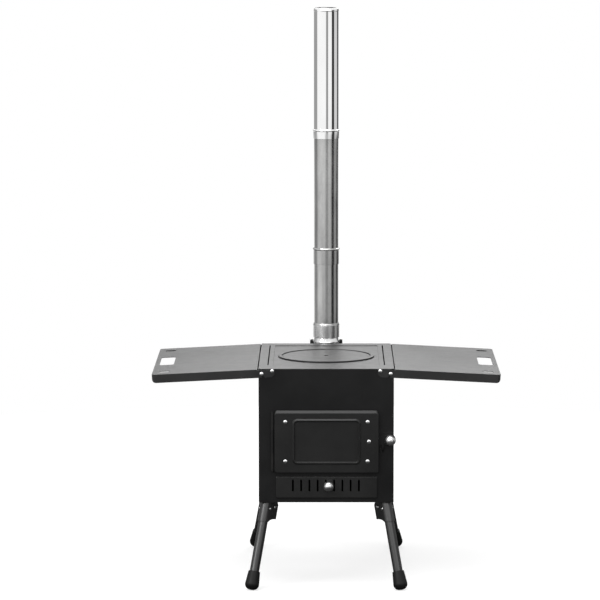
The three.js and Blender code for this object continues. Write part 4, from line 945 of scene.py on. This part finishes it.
def knuckleShape(height):
    r, bore = door["knuckle"], door["knuckleBore"]
    half = height / 2
    return spun([(bore, -half), (r - cutEdge, -half), (r, -half + cutEdge), (r, half - cutEdge),
                 (r - cutEdge, half), (bore, half)], door["knuckleSteps"], closed=True)


def buildDoor():
    low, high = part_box("door_liner")
    at = Vector(((low.x + high.x) / 2, high.y, (low.z + high.z) / 2))
    rodLow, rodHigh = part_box("hinge_rod")
    pin = (rodLow + rodHigh) / 2
    barrel = place(knuckleShape(door["middleKnuckle"]), Matrix.Translation(pin))
    size = door["leaf"]
    edge = at.x - door["width"] / 2 * mm + size["inset"] * mm
    leaf = bmesh.new()
    middle = Matrix.Translation(((pin.x + edge) / 2, at.y - size["thick"] / 2 * mm, pin.z))
    bmesh.ops.create_cube(leaf, size=1, matrix=middle @ Matrix.Diagonal((
        edge - pin.x - size["gap"] * mm, size["thick"] * mm, door["middleKnuckle"] * mm, 1)))
    pan = place(doorPanShape(), Matrix.Translation(at))
    piece = finishPiece("doorPan", joined("door", [pan, barrel, leaf]), "doorPaint", "door_skin")
    piece.data.materials.append(materials["stovePaint"])
    for face in piece.data.polygons:  # the knuckle and its leaf have the body's paint
        if face.center.x < edge - size["paintedTo"] * mm:
            face.material_index = 1


buildDoor()
softenedCopy("drawer_front", "doorPaint", 0.5, 3, "drawerFrontPan")
softenedCopy("latch_bar", "stovePaint", 0.4, 2, "latchBarPlate")
softenedCopy("latch_catch", "stovePaint", 0.35, 2, "latchCatchHook")
print("stage: door, latch and drawer front")


# Shelves and body panels

shelf = {"pivotX": 126.2, "droop": 2.9, "lipX": (33.0, 34.6), "lipZ": (-6.2, -5.2), "length": 449}


# A narrow lip under the inner edge, which closes the view down through the gap beside the plate.
def shelfLip(side):
    (x0, x1), (z0, z1) = shelf["lipX"], shelf["lipZ"]
    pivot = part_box("shelf_pivot_front_" + ("left" if side < 0 else "right"))
    pivotZ = (pivot[0].z + pivot[1].z) / 2
    bm = bmesh.new()
    centre = Vector(((x0 + x1) / 2, 0, (z0 + z1) / 2)) * mm
    bmesh.ops.create_cube(bm, size=1, matrix=Matrix.Translation(centre)
                          @ Matrix.Diagonal(((x1 - x0) * mm, shelf["length"] * mm, (z1 - z0) * mm, 1)))
    turn = Matrix.Rotation(math.radians(shelf["droop"]), 4, "Y")
    if side < 0:
        turn = Matrix.Rotation(math.pi, 4, "Z") @ turn
    return place(bm, Matrix.Translation((side * shelf["pivotX"] * mm, bodyMiddleY, pivotZ)) @ turn)


for sideName, side in (("left", -1), ("right", 1)):
    softenedCopy("shelf_" + sideName, "topPaintPaintedLight", 0.6, 3, "shelfSheet_" + sideName, shelfLip(side))
for panel in ("front_panel", "rear_panel", "side_panel_left", "side_panel_right"):
    softenedCopy(panel, "stovePaint", 0.35, 2)
print("stage: shelves and panels")


# Legs

leg = {
    "turn": 28, "tilt": 21, "footX": 175.8, "footY": 273.6, "pivotZ": 183, "tubeOffset": 22,
    "tubeRadius": 11, "tubeWall": 1.2, "capTop": 13.8, "capBottom": 16.6, "capRound": 13.5, "capLength": 44,
    "capRim": [(0.9, 0), (0.25, 0.3), (0, 1)], "capBore": 34, "capSlip": 0.3, "capSteps": 10,
    "soleDip": 3.3, "soleInset": 4, "tubeTop": 2.5, "tubeTopEdge": 0.2,
    "pinHalf": 13.6, "pinHead": 4.3, "pinRise": 2, "pinShank": 2.5, "pinSteps": 32, "headMargin": 0.15,
    "steps": 48,
    "pinDome": [(0, 1), (0.5, 0.92), (0.85, 0.62), (1, 0.28), (1, 0)],
}


def legFacts():
    tilt = math.radians(leg["tilt"])
    footV = (leg["tubeOffset"] * math.sin(tilt) + leg["pivotZ"]) / math.cos(tilt)
    capEnd = footV - (leg["capBottom"] - leg["soleInset"]) * math.tan(tilt) + leg["soleDip"]
    reach = leg["tubeOffset"] * math.cos(tilt) + footV * math.sin(tilt)
    return capEnd, reach


def legMatrix(sideX, sideY):
    turn, tilt = math.radians(leg["turn"]), math.radians(leg["tilt"])
    reach = legFacts()[1]
    x = sideX * (leg["footX"] - reach * math.sin(turn))
    y = sideY * (leg["footY"] - reach * math.cos(turn))
    swing = math.atan2(-sideX * math.sin(turn), sideY * math.cos(turn))
    return (Matrix.Translation((x * mm, bodyMiddleY + y * mm, leg["pivotZ"] * mm))
            @ Matrix.Rotation(swing, 4, "Z") @ Matrix.Rotation(tilt, 4, "X")
            @ Matrix.Translation((0, leg["tubeOffset"] * mm, 0)))


def tubeShape():
    end = legFacts()[0] - (leg["capLength"] - leg["capBore"])
    r, inner, top = leg["tubeRadius"], leg["tubeRadius"] - leg["tubeWall"], leg["tubeTop"]
    return spun([(inner, -end), (r, -end), (r, top - leg["tubeTopEdge"]), (r - cutEdge, top), (inner, top)],
                leg["steps"], closed=True)


def capShape():
    capEnd = legFacts()[0]
    top = capEnd - leg["capLength"]
    bore = leg["tubeRadius"] + leg["capSlip"]
    floor = capEnd - (leg["capLength"] - leg["capBore"]) + leg["capSlip"]
    profile = [(bore, -top)] + [(leg["capTop"] - back, -top - down) for back, down in leg["capRim"]]
    profile.append((leg["capBottom"], -(capEnd - leg["capRound"])))
    for i in range(1, leg["capSteps"] + 1):
        turn = math.radians(90 * i / leg["capSteps"])
        profile.append((leg["capBottom"] - leg["capRound"] * (1 - math.cos(turn)),
                        -(capEnd - leg["capRound"] * (1 - math.sin(turn)))))
    return spun(profile + [(0, -capEnd), (0, -floor), (bore, -floor), (bore, -top)], leg["steps"])


def crossPinShape():
    half = leg["pinHalf"]
    profile = [(leg["pinHead"] * out, half + leg["pinRise"] * up) for out, up in leg["pinDome"]]
    profile.append((leg["pinShank"], half))
    profile += [(r, -z) for r, z in reversed(profile)]
    return spun(profile, leg["pinSteps"])


# The pins end in bare steel heads outside the bracket's cheeks.
def brightHeads(piece, matrix):
    piece.data.materials.append(materials["brightSteel"])
    back = matrix.inverted()
    for face in piece.data.polygons:
        if abs((back @ face.center).x) > (leg["pinHalf"] - leg["headMargin"]) * mm:
            face.material_index = 1


def buildLegs():
    tilt = math.radians(leg["tilt"])
    for key, sideX, sideY in (("front_left", -1, -1), ("front_right", 1, -1), ("rear_left", -1, 1),
                              ("rear_right", 1, 1)):
        prefix = "leg_" + key
        matrix = legMatrix(sideX, sideY)
        across = Matrix.Rotation(math.radians(90), 4, "Y")
        down = Matrix.Translation((0, 0, -leg["tubeOffset"] * math.tan(tilt) * mm))
        pin = place(crossPinShape(), matrix @ down @ across)
        tube = joined("tube", [place(tubeShape(), matrix), pin])
        brightHeads(finishPiece(prefix + "_pipe", tube, "legPaint", prefix + "_tube"), matrix)
        brightHeads(softenedCopy(prefix + "_lug", "innerPaint", 0.3, 2, prefix + "_bracketLug"), matrix)
        cap = place(capShape(), matrix)
        # the ground cuts the sole flat
        cut = bmesh.ops.bisect_plane(cap, geom=cap.verts[:] + cap.edges[:] + cap.faces[:], dist=1e-7,
                                     plane_co=(0, 0, 0), plane_no=(0, 0, 1), clear_inner=True)
        rim = [part for part in cut["geom_cut"] if isinstance(part, bmesh.types.BMEdge)]
        bmesh.ops.contextual_create(cap, geom=rim)
        bmesh.ops.recalc_face_normals(cap, faces=cap.faces[:])
        finishPiece(prefix + "_footCap", cap, "footRubber", prefix + "_foot_cap")
        softenedCopy(prefix + "_bracket", "legPaint", 0.4, 2, prefix + "_clip")


buildLegs()
print("stage: legs")


# CAD nodes that stay as they are, in the inside paint

plainNodes = ("floor_panel", "grate", "ash_tray", "door_liner", "hinge_rod", "hinge_knuckle_lower",
              "hinge_knuckle_upper", "drawer_runner_left", "drawer_runner_right")


def dressRest():
    for node in plainNodes:
        part = nodes[node]
        if not part.material_slots:
            part.data.materials.append(materials["innerPaint"])
        for materialSlot in part.material_slots:
            materialSlot.material = materials["innerPaint"]


dressRest()
